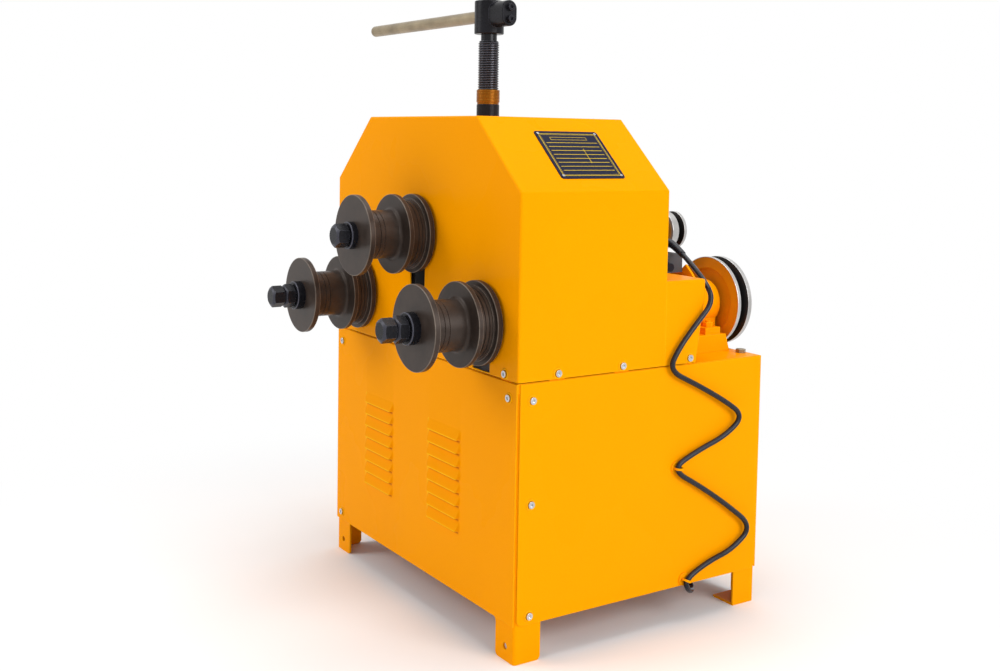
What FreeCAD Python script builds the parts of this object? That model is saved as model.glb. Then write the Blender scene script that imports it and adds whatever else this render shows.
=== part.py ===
import FreeCAD, Part
import math
import os

# Powered three-roll bender for tube and bar: two driven lower rollers and one idle upper roller that a
# hand screw presses down. A sheet cabinet on four folded legs carries a bed plate. The head, its gear
# train and the ram stand on the bed under a folded hood, and the motor and belt drive stand behind it.
# Millimetres. While it is being built, x runs left to right seen from the front with 0 at the middle of
# the cabinet, y runs from the front face backwards, and z goes up from the floor. save() then moves
# every piece so that the origin is at the bottom centre of the bounding box, left without the lead.

V = FreeCAD.Vector
os.makedirs("parts", exist_ok=True)

# ---------------------------------------------------------------- driving dimensions
# clearances
RUNNING = 0.05            # radial, a shaft in its bush
SEAT = 0.02               # radial, a part clamped on its shaft
APART = 0.3               # between faces of two bodies that move past each other
HOLE_GAP = 0.3            # radial, a screw or collar in a plain hole

# cabinet
CABINET_W = 520.0
CABINET_D = 428.0
BED_TOP = 364.0           # height of the bed plate's upper face
BED_T = 12.0
PANEL_T = 2.0
PANEL_BOTTOM = 51.0
FRONT_INSET = 2.5         # front and rear panels stop this far from the corner
SIDE_INSET = 4.5          # side panels stop this far from the corner
PANEL_GAP = 0.8           # below the bed plate's upper face
PANEL_CORNER_R = 8.0
LEG_T = 3.0
LEG_FLANGE_X = 45.0
LEG_FLANGE_Y = 43.0
LEG_BEND_R = 4.0
LEG_CORNER_R = 6.0
LEG_GUSSET = 8.0
FOOT_PLATE_W = 38.0
FOOT_PLATE_T = 3.0
LEG_HOLE_R = 4.5
LEG_HOLE_Z = 19.0
LEG_HOLE_SPACING = 475.0

# louvres of the front panel
LOUVRE_COUNT = 8
LOUVRE_W = 90.0
LOUVRE_H = 15.5
LOUVRE_PITCH = 18.0
LOUVRE_OUT = 5.0
LOUVRE_T = 1.0
LOUVRE_END_R = 5.0
LOUVRE_TOP_Z = 276.5      # upper edge of the top louvre
LOUVRE_LEFT_X = -112.0
LOUVRE_RIGHT_X = 80.5

# hood
SEAM = 1.6                # open joint between bed and hood
HOOD_T = 2.0
SHOULDER_OVER = 7.0       # its shoulders over the gear plate's top
HOOD_RISE = 96.0          # of its sloping faces
HOOD_INSET = 107.3        # how far the sloping faces lean in
BEHIND_HOOD = 186.0       # from the hood's back to the cabinet's
HOOD_BEND_R = 3.0
SHAFT_HOLE_R = 25.0
SLOT_W = 42.0
LEFT_SLOT_IN = 8.0        # inner edge of the slot from the left shaft's axis
RIGHT_SLOT_OUT = 19.0     # outer edge of the slot from the right shaft's axis
LEFT_SLOT_BOTTOM = 378.0
RIGHT_SLOT_BOTTOM = 367.6
TAB_W = 24.0
TAB_H = 16.0
TAB_T = 3.0
COVER_TAB_W = 12.0
HOOD_SCREW_FRONT = 62.0   # side screws of the hood, from its front and from its back
HOOD_SCREW_BACK = 74.0

# rear cover over the gear end of the right shaft
COVER_LEFT = 112.0
COVER_D = 71.5
COVER_SCREW_IN = 26.5     # from the cover's back
COVER_TOP = 481.5
COVER_TAPER_TOP = 457.0
COVER_TAPER = 14.0

# head
HEAD_IN = 15.0            # the head plates' sides, shoulders, top and top corners inside the hood
HEAD_SHOULDER_BELOW = 5.0
HEAD_TOP_BELOW = 11.0
HEAD_TOP_IN = 12.7
FRONT_PLATE_Y = 10.0
FRONT_PLATE_T = 22.0
REAR_PLATE_T = 16.0
REAR_PLATE_GAP = 4.0      # to the outer gears
CROSSHEAD_HALF_W = 100.0
CROSSHEAD_T = 22.0
GUIDE_W = 28.0
GUIDE_BOTTOM = 392.0
TONGUE_Y = 70.0
TONGUE_W = 24.0
TONGUE_OUT = 8.0

# lower rollers
ROLLER_SPACING = 350.0
LOWER_Z = 431.0
JOURNAL_R = 17.5
BUSH_WALL = 5.0
SHOULDER_R = 19.0
SEAT_R = 15.0
STUB_R = 10.0
STUB_SHORT = 3.0          # the stub stops this far inside its last nut
NUT_AF = 31.0
NUT_L = 16.0
END_NUT_AF = 28.0
END_NUT_L = 20.0
COLLAR_R = 21.0
COLLAR_L = 12.0
END_RING_T = 3.0
END_RING_OVER = 4.0

# dies, common to the three rollers: stations are distances in front of the hood
DIE_R = 56.0
DIE_BACK = 4.0
REAR_FLANGE_T = 8.0
SECOND_GROOVE_R = 45.5
LOWER_MID_Y = 33.0
UPPER_MID_Y = 36.5
MID_T = 7.0
GROOVE_R = 34.0
GROOVE_FILLET = 5.0
GROOVE_FRONT_Y = 87.5
RING_T = 5.0
RING_R = 38.5
NECK_T = 3.0
NECK_R = 32.0
OUTER_DISC_T = 8.0
EDGE_R = 1.5

# upper roller and ram
UPPER_Z = 535.0
RAM_UP = 30.0
RAM_DOWN = 75.0
RAM_HALF_W = 45.0
RAM_ABOVE = 50.0
RAM_BELOW = 42.0
RAM_FRONT = 36.0
RAM_GAP = 6.0             # behind the ram, to the rear plate
PLATE_SLOT_OVER = 4.0     # the front plate's slot is this much wider than the shoulder, each side
UPPER_COLLAR_R = 19.0
UPPER_COLLAR_L = 9.0
UPPER_NUT_AF = 29.0
UPPER_NUT_L = 20.0

# feed screw, along z over the middle of the hood
SCREW_IN = 31.0           # its axis from the ram's back
SCREW_R = 15.3
THREAD_PITCH = 3.5
THREAD_DEPTH = 1.5
THREAD_OVER = 15.0        # its lower end over the ram's top
THREAD_BELOW = 10.0       # its upper end under the hub
BUTTON_R = 17.0
BUTTON_T = 9.0
BUTTON_DOWN = 14.0        # top of the button under the ram's top
SCREW_NECK_R = 12.0
HUB_R = 21.6
HUB_BELOW = 27.0          # its underside under the handle's axis
HUB_H = 48.0
SCREW_TIP_L = 8.0         # the screw's end over the hub
SCREW_TIP_R = 10.0
TIP_CHAMFER = 1.5
NUT_COLLAR_R = 16.7
NUT_COLLAR_UP = 19.5      # over the hood's top
FEED_NUT_R = 27.0
FEED_NUT_FLANGE_R = 33.0
FEED_NUT_FLANGE_T = 10.0
LOCK_RING_R = 17.0
LOCK_RING_T = 18.0
LOCK_RING_GAP = 3.5
CLAMP_W = 25.0
CLAMP_H = 37.0
CLAMP_OUT = 54.0          # end face of the clamp block from the screw's axis
CLAMP_SCREW_SPACING = 17.0
CLAMP_SCREW_R = 3.0
CLAMP_SCREW_L = 15.0
CLAMP_HEAD_R = 5.2
CLAMP_HEAD_L = 6.0
CLAMP_SOCKET_R = 2.6
SOCKET_DEPTH = 3.0
HANDLE_R = 9.0
HANDLE_UP = 149.0         # over the hood's top
HANDLE_REACH = 363.0
HANDLE_TIP_R = 4.0
HANDLE_PAST = 34.0        # how far the bar goes past the screw's axis

# gear train
MODULE_OUT = 3.0
ROLLER_TEETH = 39
IDLER_TEETH = 87
LAY_PINION_TEETH = 12
MODULE_IN = 2.0
LAY_GEAR_TEETH = 66
INPUT_PINION_TEETH = 12
PRESSURE_ANGLE = 20.0
GEAR_ADDENDUM = 0.75      # share of the module
GEAR_DEDENDUM = 1.15
BACKLASH = 0.12           # share of the module, off each tooth's thickness
OUT_GEAR_W = 16.0
IN_GEAR_W = 14.0
GEAR_GAP = 6.0            # between the outer and inner gears and to the gear plate
GEAR_PLATE_GAP = 14.0     # behind the gear plate, to the hood
GEAR_PLATE_T = 12.0
GEAR_PLATE_LEFT = 118.0
GEAR_PLATE_IN = 10.0      # its right side inside the hood's
GEAR_PLATE_H = 234.0
SPACER_R = 9.0
SPACER_IN = 10.0
LAY_SHAFT_R = 10.0
LAY_BUSH_WALL = 4.0
LAY_COLLAR_R = 14.0
LAY_HUB_R = 16.0
IDLER_AXLE_R = 14.0
IDLER_RING_R = 20.0
IDLER_RING_T = 3.5

# belt drive
INPUT_X = 150.0
INPUT_R = 11.0
INPUT_PAST = 1.0          # past the front of its pinion
INPUT_END_R = 16.0
INPUT_END_T = 4.0
BELT_BEHIND = 6.0         # middle of the pulleys' grooves behind the cabinet's back
LARGE_PULLEY_R = 66.5
LARGE_PULLEY_W = 28.0
SMALL_PULLEY_R = 29.7
SMALL_PULLEY_REACH = 16.0  # its front from the middle of its groove
SMALL_PULLEY_W = 29.0
SMALL_RECESS_R = 22.0
GROOVE_W = 13.5
GROOVE_DEPTH = 12.0
GROOVE_FLOOR_W = 6.0
PULLEY_RIM_T = 5.0        # metal under the groove
PULLEY_RECESS = 3.0
PULLEY_WEB_T = 10.0
PULLEY_HUB_R = 22.0
PEDESTAL_IN = 16.0        # its back from the cabinet's
PEDESTAL_D = 56.0
PEDESTAL_HALF_W = 50.0
PEDESTAL_TAPER = 4.0      # wider by this at the foot, all round
PEDESTAL_H = 24.0
BEARING_R = 33.0
BEARING_GAP = 5.0         # to the large pulley
BEARING_L = 50.0
BEARING_NECK_HALF_W = 24.0
BEARING_FOOT_T = 10.0
BEARING_FOOT_D = 29.0
BEARING_FOOT_HALF_W = 46.0
FOOT_BOLT_SPREAD = 35.0
FOOT_NUT_AF = 14.0
FOOT_NUT_H = 7.0
FOOT_BOLT_TIP = 2.5
BED_BOLT_IN = 32.0        # from the cabinet's side
BED_BOLT_BACK_IN = 12.0   # from the cabinet's back
BED_BOLT_AF = 13.0
BED_BOLT_H = 5.3
BOLT_R = 4.0
BOLT_DEPTH = 10.0

# motor
MOTOR_X = 42.0
MOTOR_Z = 530.0
MOTOR_R = 60.0
MOTOR_FIN_DEPTH = 4.0
MOTOR_FIN_COUNT = 36
MOTOR_GAP = 8.0           # behind the hood
MOTOR_L = 116.0
MOTOR_NOSE_L = 18.0
MOTOR_NOSE_R = 38.0
MOTOR_WALL = 8.0
MOTOR_SHAFT_R = 9.5
ROTOR_R = 36.0
ROTOR_GAP = 1.0
MOTOR_FOOT_DROP = 71.0
MOTOR_FOOT_T = 8.0
MOTOR_FOOT_HALF_W = 41.0
MOTOR_FOOT_IN = 18.0      # from the motor's front
MOTOR_FOOT_D = 80.0
STAND_T = 6.0
STAND_HALF_W = 64.0
STAND_GAP = 14.0          # behind the hood
STAND_BACK_GAP = 2.0      # before the bearing pedestal
ARM_W = 18.0
EAR_BEHIND = 2.0          # behind the terminal box
EAR_T = 4.0
EAR_CLEAR = 15.0          # its step over the stand's top
EAR_EDGE = 8.0            # its lower edge under that step
EAR_STEP = 17.0
EAR_REACH = 52.0
EAR_PEAK = 31.0
EAR_PEAK_UP = 27.0
TERMINAL_BOX_OUT = 42.0   # its left side from the motor's axis
TERMINAL_BOX_W = 48.0
TERMINAL_BOX_BEFORE = 40.0  # its front before the motor's back
TERMINAL_BOX_D = 58.0
TERMINAL_BOX_UP = 15.0    # over the stand
TERMINAL_BOX_H = 28.0
RISER_W = 14.0
RISER_D = 18.0
RISER_H = 24.0
RISER_GLAND_UP = 15.0
GLAND_R = 6.5
GLAND_L = 12.0
GLAND_NUT_R = 7.5
GLAND_NUT_L = 4.0
SIDE_GLAND_IN = 33.0      # from the box's back
SIDE_GLAND_UP = 9.5       # over the box's underside

# nameplate on the right sloping face
PLATE_W = 105.0
PLATE_H = 91.0
PLATE_T = 1.0
PLATE_Y = 127.5           # middle, from the hood's front
PLATE_UP = 69.5           # middle, along the slope from its lower edge
PLATE_CORNER_R = 4.0
RIVET_R = 1.8
RIVET_H = 0.8
RIVET_DEEP = 2.0
RIVET_IN = 5.0

# screws of covers and panels
SCREW_HEAD_R = 4.6
SCREW_HEAD_H = 2.6
SCREW_SHANK_R = 2.5
SCREW_SHANK_L = 9.0
SCREW_SOCKET_R = 2.2
SCREW_SOCKET_DEPTH = 1.6

# lead
LEAD_R = 3.75
CLIP_R = 6.6
CLIP_BORE_R = 5.1
CLIP_W = 3.0
CLIP_PAD_R = 9.0
CLIP_PAD_T = 2.0
BOX_W = 62.0
BOX_D = 108.0
BOX_H = 120.0
BOX_BEHIND = 58.0         # its back from the cabinet's
BOX_Z = 98.0
BOX_GLAND_IN = 33.0       # from the box's right side
BOX_GLAND_BEHIND = 48.0   # from the box's front

# ---------------------------------------------------------------- places worked out from those
HALF_W = CABINET_W / 2
LEG_OUT_X = HALF_W - PANEL_T
LOWER_X = ROLLER_SPACING / 2
HOOD_BOTTOM = BED_TOP + SEAM
PANEL_TOP = BED_TOP - PANEL_GAP
LEG_TOP = BED_TOP - BED_T
HOOD_D = CABINET_D - BEHIND_HOOD
COVER_BACK = HOOD_D + COVER_D
GEAR_PLATE_TOP = BED_TOP + GEAR_PLATE_H
HOOD_SHOULDER = GEAR_PLATE_TOP + SHOULDER_OVER
HOOD_TOP = HOOD_SHOULDER + HOOD_RISE
HEAD_HALF_W = HALF_W - HEAD_IN
HEAD_SHOULDER = HOOD_SHOULDER - HEAD_SHOULDER_BELOW
HEAD_TOP = HOOD_TOP - HEAD_TOP_BELOW
HEAD_TOP_HALF_W = HALF_W - HOOD_INSET - HEAD_TOP_IN
GEAR_PLATE_BACK = HOOD_D - HOOD_T - GEAR_PLATE_GAP
GEAR_PLATE_Y = GEAR_PLATE_BACK - GEAR_PLATE_T
GEAR_PLATE_RIGHT = HALF_W - GEAR_PLATE_IN
IN_GEAR_BACK = GEAR_PLATE_Y - GEAR_GAP
IN_GEAR_Y = IN_GEAR_BACK - IN_GEAR_W
OUT_GEAR_BACK = IN_GEAR_Y - GEAR_GAP
OUT_GEAR_Y = OUT_GEAR_BACK - OUT_GEAR_W
REAR_PLATE_BACK = OUT_GEAR_Y - REAR_PLATE_GAP
REAR_PLATE_Y = REAR_PLATE_BACK - REAR_PLATE_T
FRONT_PLATE_BACK = FRONT_PLATE_Y + FRONT_PLATE_T
RAM_BACK = REAR_PLATE_Y - RAM_GAP
SCREW_Y = RAM_BACK - SCREW_IN
INPUT_START = IN_GEAR_Y - INPUT_PAST
BELT_Y = CABINET_D + BELT_BEHIND
SMALL_PULLEY_FRONT = BELT_Y - SMALL_PULLEY_REACH
LARGE_PULLEY_FRONT = BELT_Y - LARGE_PULLEY_W / 2
LARGE_PULLEY_BACK = BELT_Y + LARGE_PULLEY_W / 2
SMALL_PULLEY_BACK = SMALL_PULLEY_FRONT + SMALL_PULLEY_W
INPUT_END = LARGE_PULLEY_BACK + INPUT_END_T
BUSH_R = JOURNAL_R + BUSH_WALL
DIE_FRONT = GROOVE_FRONT_Y + RING_T + NECK_T + OUTER_DISC_T
LOWER_END = DIE_FRONT + COLLAR_L + NUT_L + END_NUT_L
UPPER_END = DIE_FRONT + UPPER_COLLAR_L + UPPER_NUT_L
RAM_TOP = UPPER_Z + RAM_ABOVE
RAM_BOTTOM = UPPER_Z - RAM_BELOW
BUTTON_TOP = RAM_TOP - BUTTON_DOWN
BUTTON_BOTTOM = BUTTON_TOP - BUTTON_T
CROSSHEAD_BOTTOM = HEAD_TOP - CROSSHEAD_T
HANDLE_Z = HOOD_TOP + HANDLE_UP
HUB_BOTTOM = HANDLE_Z - HUB_BELOW
HUB_TOP = HUB_BOTTOM + HUB_H
SCREW_TOP = HUB_TOP + SCREW_TIP_L
THREAD_BOTTOM = RAM_TOP + THREAD_OVER
THREAD_TOP = HUB_BOTTOM - THREAD_BELOW
NUT_COLLAR_TOP = HOOD_TOP + NUT_COLLAR_UP
LOCK_RING_BOTTOM = NUT_COLLAR_TOP + LOCK_RING_GAP
THREAD_ROOT_R = SCREW_R - THREAD_DEPTH
IDLER_REACH = MODULE_OUT * (ROLLER_TEETH + IDLER_TEETH) / 2
IDLER_Z = LOWER_Z + math.sqrt(IDLER_REACH ** 2 - LOWER_X ** 2)
LAY_FROM_ROLLER = MODULE_OUT * (ROLLER_TEETH + LAY_PINION_TEETH) / 2
LAY_FROM_INPUT = MODULE_IN * (LAY_GEAR_TEETH + INPUT_PINION_TEETH) / 2
SHAFTS_APART = LOWER_X - INPUT_X
LAY_BESIDE = (SHAFTS_APART ** 2 + LAY_FROM_ROLLER ** 2 - LAY_FROM_INPUT ** 2) / (2 * SHAFTS_APART)
LAY_X = LOWER_X - LAY_BESIDE
LAY_Z = LOWER_Z + math.sqrt(LAY_FROM_ROLLER ** 2 - LAY_BESIDE ** 2)
MOTOR_BASE = MOTOR_Z - MOTOR_FOOT_DROP
MOTOR_FRONT = HOOD_D + MOTOR_GAP
MOTOR_BACK = MOTOR_FRONT + MOTOR_L
MOTOR_NOSE = MOTOR_BACK + MOTOR_NOSE_L
MOTOR_FOOT_FRONT = MOTOR_FRONT + MOTOR_FOOT_IN
PEDESTAL_BACK = CABINET_D - PEDESTAL_IN
PEDESTAL_Y = PEDESTAL_BACK - PEDESTAL_D
PEDESTAL_TOP = BED_TOP + PEDESTAL_H
BEARING_BACK = LARGE_PULLEY_FRONT - BEARING_GAP
BEARING_FRONT = BEARING_BACK - BEARING_L
STAND_FRONT = HOOD_D + STAND_GAP
STAND_BACK = PEDESTAL_Y - PEDESTAL_TAPER - STAND_BACK_GAP
TERMINAL_BOX_X = MOTOR_X + TERMINAL_BOX_OUT
TERMINAL_BOX_Y = MOTOR_BACK - TERMINAL_BOX_BEFORE
TERMINAL_BOX_Z = MOTOR_BASE + TERMINAL_BOX_UP
TERMINAL_BOX_TOP = TERMINAL_BOX_Z + TERMINAL_BOX_H
TERMINAL_BOX_RIGHT = TERMINAL_BOX_X + TERMINAL_BOX_W
TERMINAL_BOX_BACK = TERMINAL_BOX_Y + TERMINAL_BOX_D
SIDE_GLAND_Y = TERMINAL_BOX_BACK - SIDE_GLAND_IN
SIDE_GLAND_Z = TERMINAL_BOX_Z + SIDE_GLAND_UP
RISER_GLAND_Y = TERMINAL_BOX_BACK - RISER_D / 2
RISER_GLAND_Z = TERMINAL_BOX_TOP + RISER_GLAND_UP
BOX_Y = CABINET_D - BOX_BEHIND - BOX_D
BOX_GLAND_X = LEG_OUT_X - BOX_GLAND_IN
BOX_GLAND_Y = BOX_Y + BOX_GLAND_BEHIND
CLIP_X = HALF_W + CLIP_R
SLOPE_ANGLE = math.degrees(math.atan2(HOOD_TOP - HOOD_SHOULDER, HOOD_INSET))
MIDDLE = V((CLIP_X + CLIP_R - HANDLE_REACH) / 2, (INPUT_END - LOWER_END) / 2, 0)


# ---------------------------------------------------------------- making shapes
def box(x0, x1, y0, y1, z0, z1):
    return Part.makeBox(x1 - x0, y1 - y0, z1 - z0, V(x0, y0, z0))


def rod_x(y, z, r, x0, x1):
    return Part.makeCylinder(r, x1 - x0, V(x0, y, z), V(1, 0, 0))


def rod_y(x, z, r, y0, y1):
    return Part.makeCylinder(r, y1 - y0, V(x, y0, z), V(0, 1, 0))


def rod_z(x, y, r, z0, z1):
    return Part.makeCylinder(r, z1 - z0, V(x, y, z0), V(0, 0, 1))


def flat(points):
    return Part.Face(Part.makePolygon(points + [points[0]]))


def prism_y(outline, y0, y1):
    # outline: (x, z) pairs, carried along y
    return flat([V(x, y0, z) for x, z in outline]).extrude(V(0, y1 - y0, 0))


def prism_x(outline, x0, x1):
    # outline: (y, z) pairs, carried along x
    return flat([V(x0, y, z) for y, z in outline]).extrude(V(x1 - x0, 0, 0))


def turned_y(x, z, profile):
    # profile: (radius, y) pairs, turned about the line through (x, z) along y
    return flat([V(x + r, y, z) for r, y in profile]).revolve(V(x, 0, z), V(0, 1, 0), 360)


def turned_z(x, y, profile):
    # profile: (radius, z) pairs, turned about the line through (x, y) along z
    return flat([V(x + r, y, z) for r, z in profile]).revolve(V(x, y, 0), V(0, 0, 1), 360)


def stepped_y(x, z, steps):
    # a shaft along y: steps are (radius, y0, y1) lengths that follow each other
    profile = [(0, steps[0][1])]
    for radius, y0, y1 in steps:
        profile += [(radius, y0), (radius, y1)]
    return turned_y(x, z, profile + [(0, steps[-1][2])])


def hexagon_y(x, z, across, y0, y1):
    reach = across / math.sqrt(3)
    corners = [(x + reach * math.cos(math.radians(60 * k + 30)),
                z + reach * math.sin(math.radians(60 * k + 30))) for k in range(6)]
    return prism_y(corners, y0, y1)


def hexagon_z(x, y, across, z0, z1):
    reach = across / math.sqrt(3)
    corners = [V(x + reach * math.cos(math.radians(60 * k)),
                 y + reach * math.sin(math.radians(60 * k)), z0) for k in range(6)]
    return flat(corners).extrude(V(0, 0, z1 - z0))


def fused(first, *others):
    return first.fuse(list(others)).removeSplitter()


def inset(outline, by):
    # a convex outline, listed anticlockwise, with every side moved inwards
    moved = []
    for k, corner in enumerate(outline):
        before = outline[k - 1]
        after = outline[(k + 1) % len(outline)]
        ax, az = corner[0] - before[0], corner[1] - before[1]
        bx, bz = after[0] - corner[0], after[1] - corner[1]
        al, bl = math.hypot(ax, az), math.hypot(bx, bz)
        turn = (ax * bz - az * bx) / (al * bl)
        moved.append((corner[0] + by * (bx / bl - ax / al) / turn,
                      corner[1] + by * (bz / bl - az / al) / turn))
    return moved


def rounded(shape, radius, wanted):
    # fillets the edges whose middle point passes the test
    edges = [e for e in shape.Edges if wanted(e, e.valueAt((e.FirstParameter + e.LastParameter) / 2))]
    return shape.makeFillet(radius, edges)


def along(edge, x, y, z):
    # true for a straight edge that runs along the given direction
    if not isinstance(edge.Curve, Part.Line):
        return False
    return abs(edge.Curve.Direction.dot(V(x, y, z))) > 0.999


def circle_of(edge, radius):
    return isinstance(edge.Curve, Part.Circle) and abs(edge.Curve.Radius - radius) < 1e-6


def mirrored_x(shape):
    return shape.mirror(V(0, 0, 0), V(1, 0, 0))


def save(node, shape):
    if not shape.isValid():
        raise ValueError(node + " is not a valid shape")
    placed = shape.copy()
    placed.translate(V(-MIDDLE.x, -MIDDLE.y, 0))
    placed.exportStep("parts/" + node + ".step")
    print(node, len(placed.Solids), "solids,", round(placed.Volume / 1000, 2), "cm3")


# ---------------------------------------------------------------- cover and panel screws
def screw(x, y, z, out):
    # a socket-head screw whose head lies on the sheet at (x, y, z) and points along out
    head = Part.makeCylinder(SCREW_HEAD_R, SCREW_HEAD_H, V(x, y, z), out)
    shank = Part.makeCylinder(SCREW_SHANK_R, SCREW_SHANK_L, V(x, y, z) - out * SCREW_SHANK_L, out)
    top = V(x, y, z) + out * (SCREW_HEAD_H - SCREW_SOCKET_DEPTH)
    socket = Part.makeCylinder(SCREW_SOCKET_R, SCREW_SOCKET_DEPTH, top, out)
    return fused(head, shank).cut(socket)


FRONT = V(0, -1, 0)
BACK = V(0, 1, 0)
RIGHT = V(1, 0, 0)
LEFT = V(-1, 0, 0)
SCREW_SIDE = 20.0         # screws of the front and side panels from the corner
SIDE_SCREW_Y = 23.0
HOOD_SCREW_Z = 372.5
screw_places = []
for z in (PANEL_TOP - 20.0, PANEL_BOTTOM + 13.0):
    for x in (-HALF_W + SCREW_SIDE, HALF_W - SCREW_SIDE):
        if x < 0 or z > PANEL_TOP / 2:
            screw_places.append((x, 0, z, FRONT))
        screw_places.append((x, CABINET_D, z, BACK))
for z in (PANEL_TOP - 22.0, (PANEL_TOP + PANEL_BOTTOM) / 2, PANEL_BOTTOM + 11.0):
    screw_places.append((HALF_W, SIDE_SCREW_Y, z, RIGHT))
    screw_places.append((-HALF_W, SIDE_SCREW_Y, z, LEFT))
hood_screws = [(-HALF_W + 26.0, 0, HOOD_SCREW_Z, FRONT), (HALF_W - 30.0, 0, HOOD_SCREW_Z, FRONT)]
for y in (HOOD_SCREW_FRONT, HOOD_D - HOOD_SCREW_BACK):
    hood_screws += [(HALF_W, y, HOOD_SCREW_Z, RIGHT), (-HALF_W, y, HOOD_SCREW_Z, LEFT)]
cover_screw = (HALF_W, COVER_BACK - COVER_SCREW_IN, HOOD_SCREW_Z, RIGHT)
screw_places += hood_screws + [cover_screw]
cover_screws = [screw(*place) for place in screw_places]
screw_holes = []
for x, y, z, out in screw_places:
    start = V(x, y, z) + out
    screw_holes.append(Part.makeCylinder(SCREW_SHANK_R + HOLE_GAP, SCREW_SHANK_L + 2, start, out * -1))


# ---------------------------------------------------------------- cabinet
def leg(front):
    # an angle folded from sheet, its outer faces on the panels' inner faces, made for the right side
    near = PANEL_T if front else CABINET_D - PANEL_T
    inward = 1 if front else -1
    y_far = near + inward * (LEG_FLANGE_Y - PANEL_T)
    x_in = HALF_W - LEG_FLANGE_X
    y0, y1 = sorted((near, y_far))
    outer = box(x_in, LEG_OUT_X, y0, y1, 0, LEG_TOP)
    c0, c1 = sorted((near + inward * LEG_T, y_far + inward))
    angle = outer.cut(box(x_in - 1, LEG_OUT_X - LEG_T, c0, c1, -1, LEG_TOP + 1))
    angle = rounded(angle, LEG_BEND_R, lambda e, p: along(e, 0, 0, 1) and p.x > LEG_OUT_X - 0.1
                    and abs(p.y - near) < 0.1)
    if not front:
        foot = box(LEG_OUT_X - LEG_T - FOOT_PLATE_W, LEG_OUT_X - LEG_T, y0, y1 - LEG_T, 0, FOOT_PLATE_T)
        angle = fused(angle, foot)
    angle = rounded(angle, LEG_CORNER_R, lambda e, p: p.z < 0.1 and (
        (along(e, 0, 1, 0) and p.x < x_in + 0.1) or
        (front and along(e, 1, 0, 0) and abs(p.y - y_far) < 0.1)))
    hole = rod_y(LEG_HOLE_SPACING / 2, LEG_HOLE_Z, LEG_HOLE_R, min(y0, y1) - 1, max(y0, y1) + 1)
    return angle.cut(hole)


def drilled(shape):
    return shape.cut(screw_holes)


front_leg = leg(True)
gusset = box(HALF_W - LEG_FLANGE_X - LEG_GUSSET, HALF_W - LEG_FLANGE_X, PANEL_T, PANEL_T + LEG_T,
             PANEL_BOTTOM - LEG_GUSSET, PANEL_BOTTOM + LEG_GUSSET)
gusset = gusset.cut(rod_y(HALF_W - LEG_FLANGE_X - LEG_GUSSET, PANEL_BOTTOM - LEG_GUSSET, LEG_GUSSET,
                          0, LEG_T * 3))
save("front_legs", Part.Compound([drilled(mirrored_x(front_leg)), drilled(fused(front_leg, gusset))]))
rear_leg = leg(False)
save("rear_legs", Part.Compound([drilled(mirrored_x(rear_leg)), drilled(rear_leg)]))

# bed plate, with the upright tabs that the hood and its rear cover are screwed to
bed = [box(-LEG_OUT_X, LEG_OUT_X, PANEL_T, CABINET_D - PANEL_T, LEG_TOP, BED_TOP)]
side_in = HALF_W - HOOD_T
for x, y, z, out in hood_screws + [cover_screw]:
    half_tab = COVER_TAB_W / 2 if y > HOOD_D else TAB_W / 2
    if out == FRONT:
        bed.append(box(x - TAB_W / 2, x + TAB_W / 2, HOOD_T, HOOD_T + TAB_T, BED_TOP, BED_TOP + TAB_H))
    elif out == RIGHT:
        bed.append(box(side_in - TAB_T, side_in, y - half_tab, y + half_tab, BED_TOP, BED_TOP + TAB_H))
    else:
        bed.append(box(-side_in, TAB_T - side_in, y - half_tab, y + half_tab, BED_TOP, BED_TOP + TAB_H))
bed_plate = drilled(fused(*bed))


def side_panel():
    panel = box(LEG_OUT_X, HALF_W, SIDE_INSET, CABINET_D - SIDE_INSET, PANEL_BOTTOM, PANEL_TOP)
    return rounded(panel, PANEL_CORNER_R, lambda e, p: along(e, 1, 0, 0) and p.z < PANEL_BOTTOM + 0.1)


save("right_panel", drilled(side_panel()))
save("left_panel", drilled(mirrored_x(side_panel())))
half_front = HALF_W - FRONT_INSET
rear_panel = box(-half_front, half_front, CABINET_D - PANEL_T, CABINET_D, PANEL_BOTTOM, PANEL_TOP)
save("rear_panel", drilled(rear_panel))


def louvre_block(x, top, inside):
    # a pressed hood: a wedge that leans out towards its lower edge, with rounded lower corners. The
    # inside one is smaller by the sheet and goes through the panel and out below.
    t = LOUVRE_T * inside
    half = LOUVRE_W / 2 - t
    bottom = top - LOUVRE_H - inside
    wedge = prism_x([(PANEL_T * inside + inside * 0.5, top - t), (0, top - t), (t - LOUVRE_OUT, bottom),
                     (PANEL_T * inside + inside * 0.5, bottom)], x - half, x + half)
    radius = LOUVRE_END_R - t
    mask = box(x - half, x + half, -LOUVRE_OUT - 1, PANEL_T + 1, bottom, top + 1)
    mask = rounded(mask, radius, lambda e, p: along(e, 0, 1, 0) and p.z > top)
    return wedge.common(mask)


front_panel = box(-half_front, half_front, 0, PANEL_T, PANEL_BOTTOM, PANEL_TOP)
tops = [LOUVRE_TOP_Z - LOUVRE_PITCH * k for k in range(LOUVRE_COUNT)]
columns = (LOUVRE_LEFT_X, LOUVRE_RIGHT_X)
front_panel = fused(front_panel, *[louvre_block(x, top, 0) for x in columns for top in tops])
front_panel = front_panel.cut([louvre_block(x, top, 1) for x in columns for top in tops])
save("front_panel", drilled(front_panel))

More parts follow.
